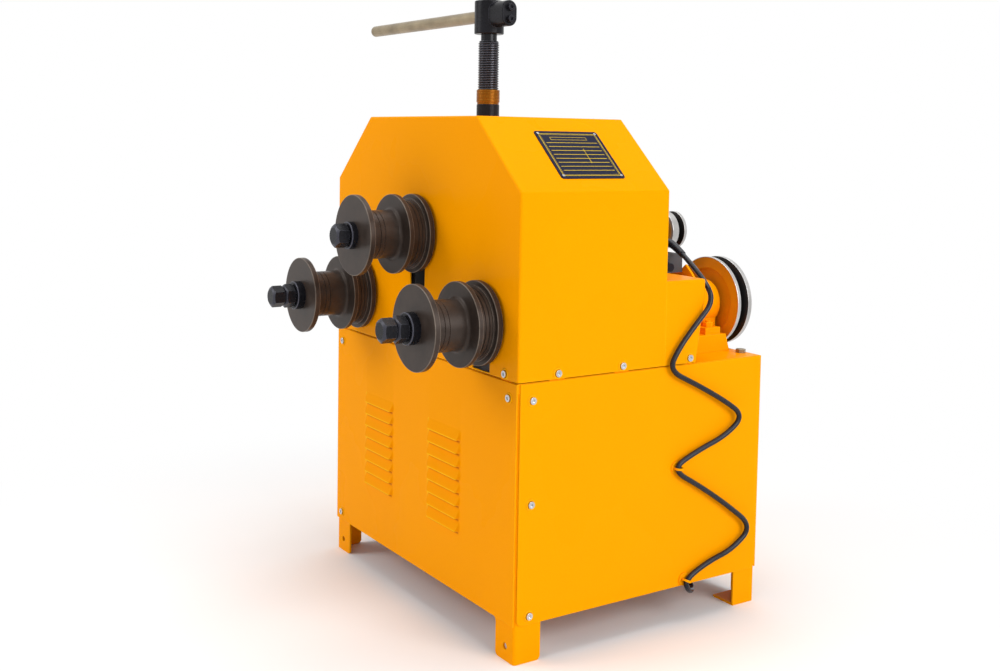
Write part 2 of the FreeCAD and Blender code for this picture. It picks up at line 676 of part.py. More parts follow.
# hood: front and back walls joined by one folded sheet, open below
hood_outline = [(-HALF_W, HOOD_BOTTOM), (HALF_W, HOOD_BOTTOM), (HALF_W, HOOD_SHOULDER),
                (HALF_W - HOOD_INSET, HOOD_TOP), (HOOD_INSET - HALF_W, HOOD_TOP), (-HALF_W, HOOD_SHOULDER)]
hood = prism_y(hood_outline, 0, HOOD_D)
hood = rounded(hood, HOOD_BEND_R, lambda e, p: p.z > HOOD_BOTTOM + 1 and not
               (along(e, 0, 0, 1) and p.y > 1) and p.y < HOOD_D - 1)
hollow = [(x, z if z > (HOOD_BOTTOM + HOOD_SHOULDER) / 2 else HOOD_BOTTOM - 1)
          for x, z in inset(hood_outline, HOOD_T)]
hood = hood.cut(prism_y(hollow, HOOD_T, HOOD_D - HOOD_T))
through = HOOD_T + 2
left_in = LEFT_SLOT_IN - LOWER_X
right_out = LOWER_X + RIGHT_SLOT_OUT
ram_low = UPPER_Z - RAM_DOWN
ram_high = UPPER_Z + RAM_UP
hood = hood.cut([
    rod_y(-LOWER_X, LOWER_Z, SHAFT_HOLE_R, -1, through),
    rod_y(LOWER_X, LOWER_Z, SHAFT_HOLE_R, -1, through),
    box(left_in - SLOT_W, left_in, -1, through, LEFT_SLOT_BOTTOM, LOWER_Z),
    box(right_out - SLOT_W, right_out, -1, through, RIGHT_SLOT_BOTTOM, LOWER_Z),
    rod_y(0, ram_low, SLOT_W / 2, -1, through),
    rod_y(0, ram_high, SLOT_W / 2, -1, through),
    box(-SLOT_W / 2, SLOT_W / 2, -1, through, ram_low, ram_high),
    rod_z(0, SCREW_Y, NUT_COLLAR_R + HOLE_GAP, HOOD_TOP - HOOD_T - 1, HOOD_TOP + 1),
    rod_y(INPUT_X, LOWER_Z, INPUT_R + HOLE_GAP * 8, HOOD_D - through, HOOD_D + 1),
])

# rear cover: a box open to the front, where it closes on the hood, and below
cover_outline = [(HOOD_D, HOOD_BOTTOM), (COVER_BACK - COVER_TAPER, HOOD_BOTTOM),
                 (COVER_BACK, COVER_TAPER_TOP), (COVER_BACK, COVER_TOP), (HOOD_D, COVER_TOP)]
cover = prism_x(cover_outline, COVER_LEFT, HALF_W)
cover = rounded(cover, HOOD_BEND_R, lambda e, p: p.z > HOOD_BOTTOM + 1 and p.y > HOOD_D + 1 and not
                (along(e, 0, 0, 1) and p.y < HOOD_D + 1))
inner = inset(cover_outline, HOOD_T)
inner = [(HOOD_D - 1 if k in (0, 4) else y, HOOD_BOTTOM - 1 if k in (0, 1) else z)
         for k, (y, z) in enumerate(inner)]
cover = cover.cut(prism_x(inner, COVER_LEFT + HOOD_T, HALF_W - HOOD_T))
cover = cover.cut(rod_y(INPUT_X, LOWER_Z, INPUT_R + HOLE_GAP * 8, HOOD_D + 1, COVER_BACK + 1))
save("rear_cover", drilled(cover))


# ---------------------------------------------------------------- head
def head_plate(y, thickness):
    outline = [(-HEAD_HALF_W, BED_TOP), (HEAD_HALF_W, BED_TOP), (HEAD_HALF_W, HEAD_SHOULDER),
               (HEAD_TOP_HALF_W, HEAD_TOP), (-HEAD_TOP_HALF_W, HEAD_TOP), (-HEAD_HALF_W, HEAD_SHOULDER)]
    plate = prism_y(outline, y, y + thickness)
    return plate.cut([rod_y(x, LOWER_Z, BUSH_R, y - 1, y + thickness + 1) for x in (-LOWER_X, LOWER_X)])


slot_r = SHOULDER_R + PLATE_SLOT_OVER
front_plate = head_plate(FRONT_PLATE_Y, FRONT_PLATE_T).cut([
    rod_y(0, ram_low, slot_r, FRONT_PLATE_Y - 1, FRONT_PLATE_BACK + 1),
    rod_y(0, ram_high, slot_r, FRONT_PLATE_Y - 1, FRONT_PLATE_BACK + 1),
    box(-slot_r, slot_r, FRONT_PLATE_Y - 1, FRONT_PLATE_BACK + 1, ram_low, ram_high),
])
save("head_front_plate", front_plate)
lay_bush_r = LAY_SHAFT_R + LAY_BUSH_WALL
input_bush_r = INPUT_R + LAY_BUSH_WALL
rear_plate = head_plate(REAR_PLATE_Y, REAR_PLATE_T).cut([
    rod_y(0, IDLER_Z, IDLER_AXLE_R, REAR_PLATE_Y - 1, REAR_PLATE_BACK + 1),
    rod_y(LAY_X, LAY_Z, lay_bush_r, REAR_PLATE_Y - 1, REAR_PLATE_BACK + 1),
])
save("head_rear_plate", rear_plate)
guide_in = RAM_HALF_W + APART
guide_out = guide_in + GUIDE_W
guide = box(guide_in, guide_out, FRONT_PLATE_BACK, REAR_PLATE_Y, GUIDE_BOTTOM, CROSSHEAD_BOTTOM)
guide = guide.cut(box(guide_in - 1, guide_in + TONGUE_OUT, TONGUE_Y - APART, TONGUE_Y + TONGUE_W + APART,
                      GUIDE_BOTTOM - 1, CROSSHEAD_BOTTOM + 1))
save("ram_guides", Part.Compound([mirrored_x(guide), guide]))
crosshead = box(-CROSSHEAD_HALF_W, CROSSHEAD_HALF_W, FRONT_PLATE_BACK, REAR_PLATE_Y,
                CROSSHEAD_BOTTOM, HEAD_TOP)
save("crosshead", crosshead.cut(rod_z(0, SCREW_Y, FEED_NUT_R, CROSSHEAD_BOTTOM - 1, HEAD_TOP + 1)))
flange_bottom = CROSSHEAD_BOTTOM - FEED_NUT_FLANGE_T
feed_nut = turned_z(0, SCREW_Y, [
    (SCREW_R + RUNNING, flange_bottom), (FEED_NUT_FLANGE_R, flange_bottom),
    (FEED_NUT_FLANGE_R, CROSSHEAD_BOTTOM),
    (FEED_NUT_R, CROSSHEAD_BOTTOM), (FEED_NUT_R, HEAD_TOP), (NUT_COLLAR_R, HEAD_TOP),
    (NUT_COLLAR_R, NUT_COLLAR_TOP), (SCREW_R + RUNNING, NUT_COLLAR_TOP)])
save("feed_nut", feed_nut)

gear_plate = box(GEAR_PLATE_LEFT, GEAR_PLATE_RIGHT, GEAR_PLATE_Y, GEAR_PLATE_BACK, BED_TOP, GEAR_PLATE_TOP)
gear_plate = gear_plate.cut([rod_y(LAY_X, LAY_Z, lay_bush_r, GEAR_PLATE_Y - 1, GEAR_PLATE_BACK + 1),
                             rod_y(INPUT_X, LOWER_Z, input_bush_r, GEAR_PLATE_Y - 1, GEAR_PLATE_BACK + 1)])
save("gear_plate", gear_plate)
spacers = [rod_y(x, z, SPACER_R, REAR_PLATE_BACK, GEAR_PLATE_Y)
           for x in (GEAR_PLATE_LEFT + SPACER_IN, GEAR_PLATE_RIGHT - SPACER_IN)
           for z in (BED_TOP + SPACER_IN, GEAR_PLATE_TOP - SPACER_IN)]
save("gear_plate_spacers", Part.Compound(spacers))


def bush(x, z, inner, outer, y0, y1):
    return rod_y(x, z, outer, y0, y1).cut(rod_y(x, z, inner + RUNNING, y0 - 1, y1 + 1))


save("shaft_bushes", Part.Compound(
    [bush(x, LOWER_Z, JOURNAL_R, BUSH_R, FRONT_PLATE_Y, FRONT_PLATE_BACK) for x in (-LOWER_X, LOWER_X)] +
    [bush(x, LOWER_Z, JOURNAL_R, BUSH_R, REAR_PLATE_Y, REAR_PLATE_BACK) for x in (-LOWER_X, LOWER_X)] +
    [bush(LAY_X, LAY_Z, LAY_SHAFT_R, lay_bush_r, REAR_PLATE_Y, REAR_PLATE_BACK),
     bush(LAY_X, LAY_Z, LAY_SHAFT_R, lay_bush_r, GEAR_PLATE_Y, GEAR_PLATE_BACK),
     bush(INPUT_X, LOWER_Z, INPUT_R, input_bush_r, GEAR_PLATE_Y, GEAR_PLATE_BACK)]))
idler_axle = stepped_y(0, IDLER_Z, [
    (IDLER_AXLE_R, REAR_PLATE_Y, REAR_PLATE_BACK),
    (IDLER_RING_R, REAR_PLATE_BACK, OUT_GEAR_Y - APART),
    (IDLER_AXLE_R, OUT_GEAR_Y - APART, OUT_GEAR_BACK + APART),
    (IDLER_RING_R, OUT_GEAR_BACK + APART, OUT_GEAR_BACK + APART + IDLER_RING_T)])
save("idler_axle", idler_axle)


# ---------------------------------------------------------------- gears
def involute(base, radius):
    # angle that the involute of the base circle has turned through at this radius
    if radius <= base:
        return 0.0
    roll = math.sqrt((radius / base) ** 2 - 1)
    return roll - math.atan(roll)


def gear(x, z, module, teeth, phase, y0, y1):
    # a spur gear blank about (x, z), one tooth's middle at the angle phase, from x towards z
    pitch = module * teeth / 2
    base = pitch * math.cos(math.radians(PRESSURE_ANGLE))
    tip = pitch + GEAR_ADDENDUM * module
    root = pitch - GEAR_DEDENDUM * module
    half = math.pi / (2 * teeth) - BACKLASH * module / (2 * pitch) + involute(base, pitch)
    low = max(root, base)
    steps = 4 if teeth < 20 else 2
    flank = [low + (tip - low) * k / steps for k in range(steps + 1)]
    if root < low - 0.01:
        flank = [root] + flank
    points = []
    for k in range(teeth):
        middle = phase + 2 * math.pi * k / teeth
        for radius in flank:
            angle = middle - half + involute(base, radius)
            points.append((x + radius * math.cos(angle), z + radius * math.sin(angle)))
        for radius in reversed(flank):
            angle = middle + half - involute(base, radius)
            points.append((x + radius * math.cos(angle), z + radius * math.sin(angle)))
    return prism_y(points, y0, y1)


def mate_phase(here, there, teeth_here, teeth_there, phase):
    # phase of the gear at there that puts its space where the tooth of the gear at here points
    towards = math.atan2(there[1] - here[1], there[0] - here[0])
    share = (towards - phase) * teeth_here / (2 * math.pi)
    return towards + math.pi - (0.5 - share) * 2 * math.pi / teeth_there


left_axis = (-LOWER_X, LOWER_Z)
right_axis = (LOWER_X, LOWER_Z)
idler_axis = (0, IDLER_Z)
lay_axis = (LAY_X, LAY_Z)
input_axis = (INPUT_X, LOWER_Z)
idler_phase = mate_phase(right_axis, idler_axis, ROLLER_TEETH, IDLER_TEETH, 0)
left_phase = mate_phase(idler_axis, left_axis, IDLER_TEETH, ROLLER_TEETH, idler_phase)
lay_phase = mate_phase(right_axis, lay_axis, ROLLER_TEETH, LAY_PINION_TEETH, 0)
input_phase = mate_phase(lay_axis, input_axis, LAY_GEAR_TEETH, INPUT_PINION_TEETH, 0)
idler = gear(0, IDLER_Z, MODULE_OUT, IDLER_TEETH, idler_phase, OUT_GEAR_Y, OUT_GEAR_BACK)
save("idler_gear", idler.cut(rod_y(0, IDLER_Z, IDLER_AXLE_R + RUNNING, OUT_GEAR_Y - 1, OUT_GEAR_BACK + 1)))
lay_pinion = gear(LAY_X, LAY_Z, MODULE_OUT, LAY_PINION_TEETH, lay_phase, OUT_GEAR_Y - 1, OUT_GEAR_BACK + 1)
lay_shaft = stepped_y(LAY_X, LAY_Z, [
    (LAY_SHAFT_R, REAR_PLATE_Y + 1, OUT_GEAR_BACK + 1),
    (LAY_COLLAR_R, OUT_GEAR_BACK + 1, IN_GEAR_Y),
    (LAY_SHAFT_R, IN_GEAR_Y, GEAR_PLATE_BACK)])
save("lay_shaft", fused(lay_shaft, lay_pinion))
lay_gear = gear(LAY_X, LAY_Z, MODULE_IN, LAY_GEAR_TEETH, 0, IN_GEAR_Y, IN_GEAR_BACK)
lay_gear = fused(lay_gear, rod_y(LAY_X, LAY_Z, LAY_HUB_R, IN_GEAR_BACK, GEAR_PLATE_Y - APART))
save("lay_gear", lay_gear.cut(rod_y(LAY_X, LAY_Z, LAY_SHAFT_R + SEAT, IN_GEAR_Y - 1, GEAR_PLATE_Y)))
input_pinion = gear(INPUT_X, LOWER_Z, MODULE_IN, INPUT_PINION_TEETH, input_phase, IN_GEAR_Y, IN_GEAR_BACK)
input_core = MODULE_IN * (INPUT_PINION_TEETH / 2 - GEAR_DEDENDUM)
input_shaft = stepped_y(INPUT_X, LOWER_Z, [
    (input_core, INPUT_START, IN_GEAR_BACK),
    (INPUT_R, IN_GEAR_BACK, LARGE_PULLEY_BACK),
    (INPUT_END_R, LARGE_PULLEY_BACK, INPUT_END)])
save("input_shaft", fused(input_shaft, input_pinion))


# ---------------------------------------------------------------- lower rollers
def outer_die(x, z, bore):
    ring_back = -GROOVE_FRONT_Y
    ring_front = ring_back - RING_T
    neck_front = ring_front - NECK_T
    disc_front = neck_front - OUTER_DISC_T
    die = turned_y(x, z, [(bore, ring_back), (RING_R, ring_back), (RING_R, ring_front), (NECK_R, ring_front),
                          (NECK_R, neck_front), (DIE_R, neck_front), (DIE_R, disc_front), (bore, disc_front)])
    return rounded(die, EDGE_R, lambda e, p: circle_of(e, DIE_R))


def main_die(x, z, bore, mid_y):
    flange_front = -DIE_BACK - REAR_FLANGE_T
    mid_front = -mid_y - MID_T
    die = turned_y(x, z, [(bore, -DIE_BACK), (DIE_R, -DIE_BACK), (DIE_R, flange_front),
                          (SECOND_GROOVE_R, flange_front), (SECOND_GROOVE_R, -mid_y), (DIE_R, -mid_y),
                          (DIE_R, mid_front), (GROOVE_R, mid_front), (GROOVE_R, -GROOVE_FRONT_Y),
                          (bore, -GROOVE_FRONT_Y)])
    die = rounded(die, GROOVE_FILLET, lambda e, p: circle_of(e, GROOVE_R) and p.y > mid_front - 0.1)
    return rounded(die, EDGE_R, lambda e, p: circle_of(e, DIE_R))


def nut(x, z, across, y_back, length, depth):
    # a hexagon nut with a blind or open bore, its back face at y_back
    blank = hexagon_y(x, z, across, y_back - length, y_back)
    cone = across / math.sqrt(3) - 0.6
    mask = turned_y(x, z, [(0, y_back), (cone * 2, y_back), (cone * 2, y_back - length + 2),
                           (cone, y_back - length), (0, y_back - length)])
    return blank.common(mask).cut(rod_y(x, z, STUB_R + SEAT, y_back - depth, y_back + 1))


def collar(x, z, radius, length):
    blank = rod_y(x, z, radius, -DIE_FRONT - length, -DIE_FRONT)
    blank = rounded(blank, 1.0, lambda e, p: circle_of(e, radius) and p.y < -DIE_FRONT - 1)
    return blank.cut(rod_y(x, z, STUB_R + SEAT, -DIE_FRONT - length - 1, 0))


for side, x in (("lower_left", -LOWER_X), ("lower_right", LOWER_X)):
    shaft = stepped_y(x, LOWER_Z, [
        (STUB_R, -LOWER_END + STUB_SHORT, 1 - DIE_FRONT),
        (SEAT_R, 1 - DIE_FRONT, -DIE_BACK),
        (SHOULDER_R, -DIE_BACK, FRONT_PLATE_Y - APART),
        (JOURNAL_R, FRONT_PLATE_Y - APART, OUT_GEAR_Y),
        (SEAT_R, OUT_GEAR_Y, OUT_GEAR_BACK),
        (SEAT_R + END_RING_OVER, OUT_GEAR_BACK, OUT_GEAR_BACK + END_RING_T)])
    save(side + "_shaft", shaft)
    save(side + "_outer_die", outer_die(x, LOWER_Z, SEAT_R + SEAT))
    save(side + "_main_die", main_die(x, LOWER_Z, SEAT_R + SEAT, LOWER_MID_Y))
    save(side + "_collar", collar(x, LOWER_Z, COLLAR_R, COLLAR_L))
    nut_back = -DIE_FRONT - COLLAR_L
    nuts = [nut(x, LOWER_Z, NUT_AF, nut_back, NUT_L, NUT_L + 1),
            nut(x, LOWER_Z, END_NUT_AF, nut_back - NUT_L, END_NUT_L, END_NUT_L - STUB_SHORT)]
    save(side + "_nuts", Part.Compound(nuts))
    wheel = gear(x, LOWER_Z, MODULE_OUT, ROLLER_TEETH, left_phase if x < 0 else 0, OUT_GEAR_Y, OUT_GEAR_BACK)
    save(side + "_gear", wheel.cut(rod_y(x, LOWER_Z, SEAT_R + SEAT, OUT_GEAR_Y - 1, OUT_GEAR_BACK + 1)))

# ---------------------------------------------------------------- upper roller, ram and feed screw
upper_shaft = stepped_y(0, UPPER_Z, [
    (STUB_R, -UPPER_END + STUB_SHORT, 1 - DIE_FRONT),
    (SEAT_R, 1 - DIE_FRONT, -DIE_BACK),
    (SHOULDER_R, -DIE_BACK, RAM_FRONT - APART),
    (JOURNAL_R, RAM_FRONT - APART, RAM_BACK + APART),
    (JOURNAL_R + END_RING_OVER, RAM_BACK + APART, RAM_BACK + APART + END_RING_T)])
save("upper_shaft", upper_shaft)
save("upper_outer_die", outer_die(0, UPPER_Z, SEAT_R + SEAT))
save("upper_main_die", main_die(0, UPPER_Z, SEAT_R + SEAT, UPPER_MID_Y))
save("upper_collar", collar(0, UPPER_Z, UPPER_COLLAR_R, UPPER_COLLAR_L))
upper_nut = nut(0, UPPER_Z, UPPER_NUT_AF, -DIE_FRONT - UPPER_COLLAR_L, UPPER_NUT_L, UPPER_NUT_L - STUB_SHORT)
save("upper_nut", upper_nut)

ram_out = RAM_HALF_W + TONGUE_OUT
ram = fused(box(-RAM_HALF_W, RAM_HALF_W, RAM_FRONT, RAM_BACK, RAM_BOTTOM, RAM_TOP),
            box(-ram_out, ram_out, TONGUE_Y, TONGUE_Y + TONGUE_W, RAM_BOTTOM, RAM_TOP))
neck_half = SCREW_NECK_R + APART
button_half = BUTTON_R + APART
ram = ram.cut([
    rod_y(0, UPPER_Z, JOURNAL_R + RUNNING, RAM_FRONT - 1, RAM_BACK + 1),
    rod_z(0, SCREW_Y, neck_half, BUTTON_TOP, RAM_TOP + 1),
    box(-neck_half, neck_half, SCREW_Y, RAM_BACK + 1, BUTTON_TOP, RAM_TOP + 1),
    rod_z(0, SCREW_Y, button_half, BUTTON_BOTTOM - APART, BUTTON_TOP + APART),
    box(-button_half, button_half, SCREW_Y, RAM_BACK + 1, BUTTON_BOTTOM - APART, BUTTON_TOP + APART),
])
save("ram", ram)

neck_top_r = SCREW_NECK_R - 0.2
profile = [(0, BUTTON_BOTTOM), (BUTTON_R, BUTTON_BOTTOM), (BUTTON_R, BUTTON_TOP), (SCREW_NECK_R, BUTTON_TOP),
           (SCREW_NECK_R, THREAD_BOTTOM), (THREAD_ROOT_R, THREAD_BOTTOM)]
ridges = int((THREAD_TOP - THREAD_BOTTOM) / THREAD_PITCH)
for k in range(ridges):
    start = THREAD_BOTTOM + THREAD_PITCH * (k + 0.18)
    profile += [(THREAD_ROOT_R, start), (SCREW_R, start + THREAD_PITCH * 0.18),
                (SCREW_R, start + THREAD_PITCH * 0.5), (THREAD_ROOT_R, start + THREAD_PITCH * 0.68)]
profile += [(THREAD_ROOT_R, THREAD_TOP), (neck_top_r, THREAD_TOP), (neck_top_r, HUB_TOP),
            (SCREW_TIP_R, HUB_TOP), (SCREW_TIP_R, SCREW_TOP - TIP_CHAMFER),
            (SCREW_TIP_R - TIP_CHAMFER, SCREW_TOP), (0, SCREW_TOP)]
bar_end = HANDLE_PAST + HOLE_GAP
bar_hole = rod_x(SCREW_Y, HANDLE_Z, HANDLE_R + SEAT, -HUB_R - 1, bar_end)
save("feed_screw", turned_z(0, SCREW_Y, profile).cut(bar_hole))

ends_y = CLAMP_W / 2
block_top = HANDLE_Z + CLAMP_H / 2 - ends_y
block_bottom = HANDLE_Z - CLAMP_H / 2 + ends_y
clamp_block = fused(rod_x(SCREW_Y, block_top, ends_y, 0, CLAMP_OUT),
                    rod_x(SCREW_Y, block_bottom, ends_y, 0, CLAMP_OUT),
                    box(0, CLAMP_OUT, SCREW_Y - ends_y, SCREW_Y + ends_y, block_bottom, block_top))
clamp_block = rounded(clamp_block, 1.5, lambda e, p: p.x > CLAMP_OUT - 0.01 and abs(p.x - CLAMP_OUT) < 0.01)
hub = rod_z(0, SCREW_Y, HUB_R, HUB_BOTTOM, HUB_TOP)
hub = rounded(hub, 1.5, lambda e, p: circle_of(e, HUB_R))
clamp_z = (HANDLE_Z - CLAMP_SCREW_SPACING / 2, HANDLE_Z + CLAMP_SCREW_SPACING / 2)
shank_start = CLAMP_OUT - CLAMP_SCREW_L
hub = fused(hub, clamp_block).cut([
    rod_z(0, SCREW_Y, neck_top_r + SEAT, HUB_BOTTOM - 1, HUB_TOP + 1), bar_hole] +
    [rod_x(SCREW_Y, z, CLAMP_SCREW_R + SEAT, shank_start - 1, CLAMP_OUT + 1) for z in clamp_z])
save("handle_hub", hub)
bar = rod_x(SCREW_Y, HANDLE_Z, HANDLE_R, -HANDLE_REACH, HANDLE_PAST)
save("handle_bar", rounded(bar, HANDLE_TIP_R, lambda e, p: circle_of(e, HANDLE_R) and p.x < 0))
clamp_screws = []
for z in clamp_z:
    bolt = fused(rod_x(SCREW_Y, z, CLAMP_SCREW_R, shank_start, CLAMP_OUT),
                 rod_x(SCREW_Y, z, CLAMP_HEAD_R, CLAMP_OUT, CLAMP_OUT + CLAMP_HEAD_L))
    head_end = CLAMP_OUT + CLAMP_HEAD_L
    clamp_screws.append(bolt.cut(rod_x(SCREW_Y, z, CLAMP_SOCKET_R, head_end - SOCKET_DEPTH, head_end + 1)))
save("clamp_screws", Part.Compound(clamp_screws))
lock_ring = rod_z(0, SCREW_Y, LOCK_RING_R, LOCK_RING_BOTTOM, LOCK_RING_BOTTOM + LOCK_RING_T)
lock_ring = rounded(lock_ring, 1.0, lambda e, p: circle_of(e, LOCK_RING_R))
save("lock_ring", lock_ring.cut(rod_z(0, SCREW_Y, SCREW_R + RUNNING, NUT_COLLAR_TOP, HUB_BOTTOM)))


# ---------------------------------------------------------------- belt drive
def groove_profile(radius):
    # the V groove's corners, from the front rim to the rear rim
    floor = radius - GROOVE_DEPTH
    return [(radius, BELT_Y - GROOVE_W / 2), (floor, BELT_Y - GROOVE_FLOOR_W / 2),
            (floor, BELT_Y + GROOVE_FLOOR_W / 2), (radius, BELT_Y + GROOVE_W / 2)]


rim_in = LARGE_PULLEY_R - GROOVE_DEPTH - PULLEY_RIM_T
web_front = LARGE_PULLEY_FRONT + PULLEY_RECESS
web_back = web_front + PULLEY_WEB_T
bore = INPUT_R + SEAT
large_pulley = turned_y(INPUT_X, LOWER_Z, [
    (bore, LARGE_PULLEY_FRONT), (PULLEY_HUB_R, LARGE_PULLEY_FRONT), (PULLEY_HUB_R, web_front),
    (rim_in, web_front), (rim_in, LARGE_PULLEY_FRONT),
    (LARGE_PULLEY_R, LARGE_PULLEY_FRONT)] + groove_profile(LARGE_PULLEY_R) + [
    (LARGE_PULLEY_R, LARGE_PULLEY_BACK), (rim_in, LARGE_PULLEY_BACK), (rim_in, web_back),
    (PULLEY_HUB_R, web_back), (PULLEY_HUB_R, LARGE_PULLEY_BACK), (bore, LARGE_PULLEY_BACK)])
save("large_pulley", large_pulley)
bore = MOTOR_SHAFT_R + SEAT
small_web = SMALL_PULLEY_FRONT + PULLEY_RECESS
small_pulley = turned_y(MOTOR_X, MOTOR_Z, [
    (bore, small_web), (SMALL_RECESS_R, small_web), (SMALL_RECESS_R, SMALL_PULLEY_FRONT),
    (SMALL_PULLEY_R, SMALL_PULLEY_FRONT)] + groove_profile(SMALL_PULLEY_R) + [
    (SMALL_PULLEY_R, SMALL_PULLEY_BACK), (bore, SMALL_PULLEY_BACK)])
save("small_pulley", small_pulley)

# bearing pedestal of the input shaft, wider at its foot, with the bearing's block and barrel on it
def tapered(low0, low1, taper):
    # a trapezoid from the bed up to the pedestal's top
    return [(low0 - taper, BED_TOP), (low1 + taper, BED_TOP), (low1, PEDESTAL_TOP), (low0, PEDESTAL_TOP)]


block = prism_y(tapered(INPUT_X - PEDESTAL_HALF_W, INPUT_X + PEDESTAL_HALF_W, PEDESTAL_TAPER),
                PEDESTAL_Y - PEDESTAL_TAPER, PEDESTAL_BACK + PEDESTAL_TAPER)
block = block.common(prism_x(tapered(PEDESTAL_Y, PEDESTAL_BACK, PEDESTAL_TAPER),
                             INPUT_X - PEDESTAL_HALF_W * 2, INPUT_X + PEDESTAL_HALF_W * 2))
bearing_y = (BEARING_FRONT + BEARING_BACK) / 2
foot_top = PEDESTAL_TOP + BEARING_FOOT_T
pedestal = fused(
    block,
    box(INPUT_X - BEARING_FOOT_HALF_W, INPUT_X + BEARING_FOOT_HALF_W, bearing_y - BEARING_FOOT_D / 2,
        bearing_y + BEARING_FOOT_D / 2, PEDESTAL_TOP, foot_top),
    box(INPUT_X - BEARING_NECK_HALF_W, INPUT_X + BEARING_NECK_HALF_W, BEARING_FRONT, BEARING_BACK,
        PEDESTAL_TOP, LOWER_Z),
    rod_y(INPUT_X, LOWER_Z, BEARING_R, BEARING_FRONT, BEARING_BACK))
bed_bolt_x = HALF_W - BED_BOLT_IN
bed_bolt_y = CABINET_D - BED_BOLT_BACK_IN
foot_bolts = [(INPUT_X + side * FOOT_BOLT_SPREAD, bearing_y, foot_top) for side in (-1, 1)]
bed_bolts = [(side * bed_bolt_x, bed_bolt_y, BED_TOP) for side in (-1, 1)]


def shank(x, y, z):
    return rod_z(x, y, BOLT_R, z - BOLT_DEPTH, z)


def hex_bolt(place, across, height, tip):
    # a hexagon on its seat, with its shank below and the end of a stud above
    x, y, z = place
    head = hexagon_z(x, y, across, z, z + height)
    return fused(head, rod_z(x, y, BOLT_R, z, z + height + tip), shank(*place))


save("bearing_pedestal", pedestal.cut(
    [rod_y(INPUT_X, LOWER_Z, INPUT_R + RUNNING, BEARING_FRONT - 1, BEARING_BACK + 1)] +
    [shank(*place) for place in foot_bolts]))
save("foot_bolts", Part.Compound([hex_bolt(p, FOOT_NUT_AF, FOOT_NUT_H, FOOT_BOLT_TIP) for p in foot_bolts]))
save("bed_bolts", Part.Compound([hex_bolt(p, BED_BOLT_AF, BED_BOLT_H, 0) for p in bed_bolts]))
save("bed_plate", bed_plate.cut([shank(*place) for place in bed_bolts]))

# ---------------------------------------------------------------- motor
outline = []
for k in range(MOTOR_FIN_COUNT):
    for radius, share in ((MOTOR_R, 0.0), (MOTOR_R, 0.4), (MOTOR_R - MOTOR_FIN_DEPTH, 0.5),
                          (MOTOR_R - MOTOR_FIN_DEPTH, 0.9)):
        angle = 2 * math.pi * (k + share) / MOTOR_FIN_COUNT
        outline.append((MOTOR_X + radius * math.cos(angle), MOTOR_Z + radius * math.sin(angle)))
nose = turned_y(MOTOR_X, MOTOR_Z, [(0, MOTOR_BACK), (MOTOR_R - MOTOR_FIN_DEPTH, MOTOR_BACK),
                                   (MOTOR_NOSE_R, MOTOR_NOSE), (0, MOTOR_NOSE)])
foot_back = MOTOR_FOOT_FRONT + MOTOR_FOOT_D
foot = box(MOTOR_X - MOTOR_FOOT_HALF_W, MOTOR_X + MOTOR_FOOT_HALF_W, MOTOR_FOOT_FRONT, foot_back,
           MOTOR_BASE, MOTOR_BASE + MOTOR_FOOT_T)
web = box(MOTOR_X - MOTOR_FOOT_HALF_W / 2, MOTOR_X + MOTOR_FOOT_HALF_W / 2, MOTOR_FOOT_FRONT, foot_back,
          MOTOR_BASE, MOTOR_Z - MOTOR_NOSE_R)
core_front = MOTOR_FRONT + MOTOR_WALL
core_back = MOTOR_BACK - MOTOR_WALL
housing = fused(prism_y(outline, MOTOR_FRONT, MOTOR_BACK), nose, foot, web)
housing = housing.cut([rod_y(MOTOR_X, MOTOR_Z, ROTOR_R + ROTOR_GAP, core_front, core_back),
                       rod_y(MOTOR_X, MOTOR_Z, MOTOR_SHAFT_R + RUNNING, core_back - 1, MOTOR_NOSE + 1)])
rotor = stepped_y(MOTOR_X, MOTOR_Z, [
    (ROTOR_R, core_front + ROTOR_GAP, core_back - ROTOR_GAP),
    (MOTOR_SHAFT_R, core_back - ROTOR_GAP, SMALL_PULLEY_BACK)])
save("motor_rotor", rotor)
ring = turned_y(MOTOR_X, MOTOR_Z, [(0, MOTOR_FRONT - 1), (MOTOR_R, MOTOR_FRONT - 1), (MOTOR_R, MOTOR_BACK),
                                   (MOTOR_NOSE_R + 2, MOTOR_NOSE + 1), (0, MOTOR_NOSE + 1)])
terminal_box = fused(
    box(TERMINAL_BOX_X, TERMINAL_BOX_RIGHT, TERMINAL_BOX_Y, TERMINAL_BOX_BACK,
        TERMINAL_BOX_Z, TERMINAL_BOX_TOP),
    box(TERMINAL_BOX_X, TERMINAL_BOX_X + RISER_W, TERMINAL_BOX_BACK - RISER_D, TERMINAL_BOX_BACK,
        TERMINAL_BOX_TOP, TERMINAL_BOX_TOP + RISER_H))
seat = box(MOTOR_X + MOTOR_FOOT_HALF_W / 2 + 1, TERMINAL_BOX_X + 1, TERMINAL_BOX_Y + 4, MOTOR_BACK - 4,
           TERMINAL_BOX_Z + 2, TERMINAL_BOX_Z + 16)
seat = seat.cut(rod_y(MOTOR_X, MOTOR_Z, MOTOR_R, MOTOR_FRONT, MOTOR_BACK))
seat = max(seat.Solids, key=lambda s: s.BoundBox.XMax)
terminal_box = fused(terminal_box.cut(ring), seat.cut(ring))
save("motor_housing", housing)
save("terminal_box", terminal_box)

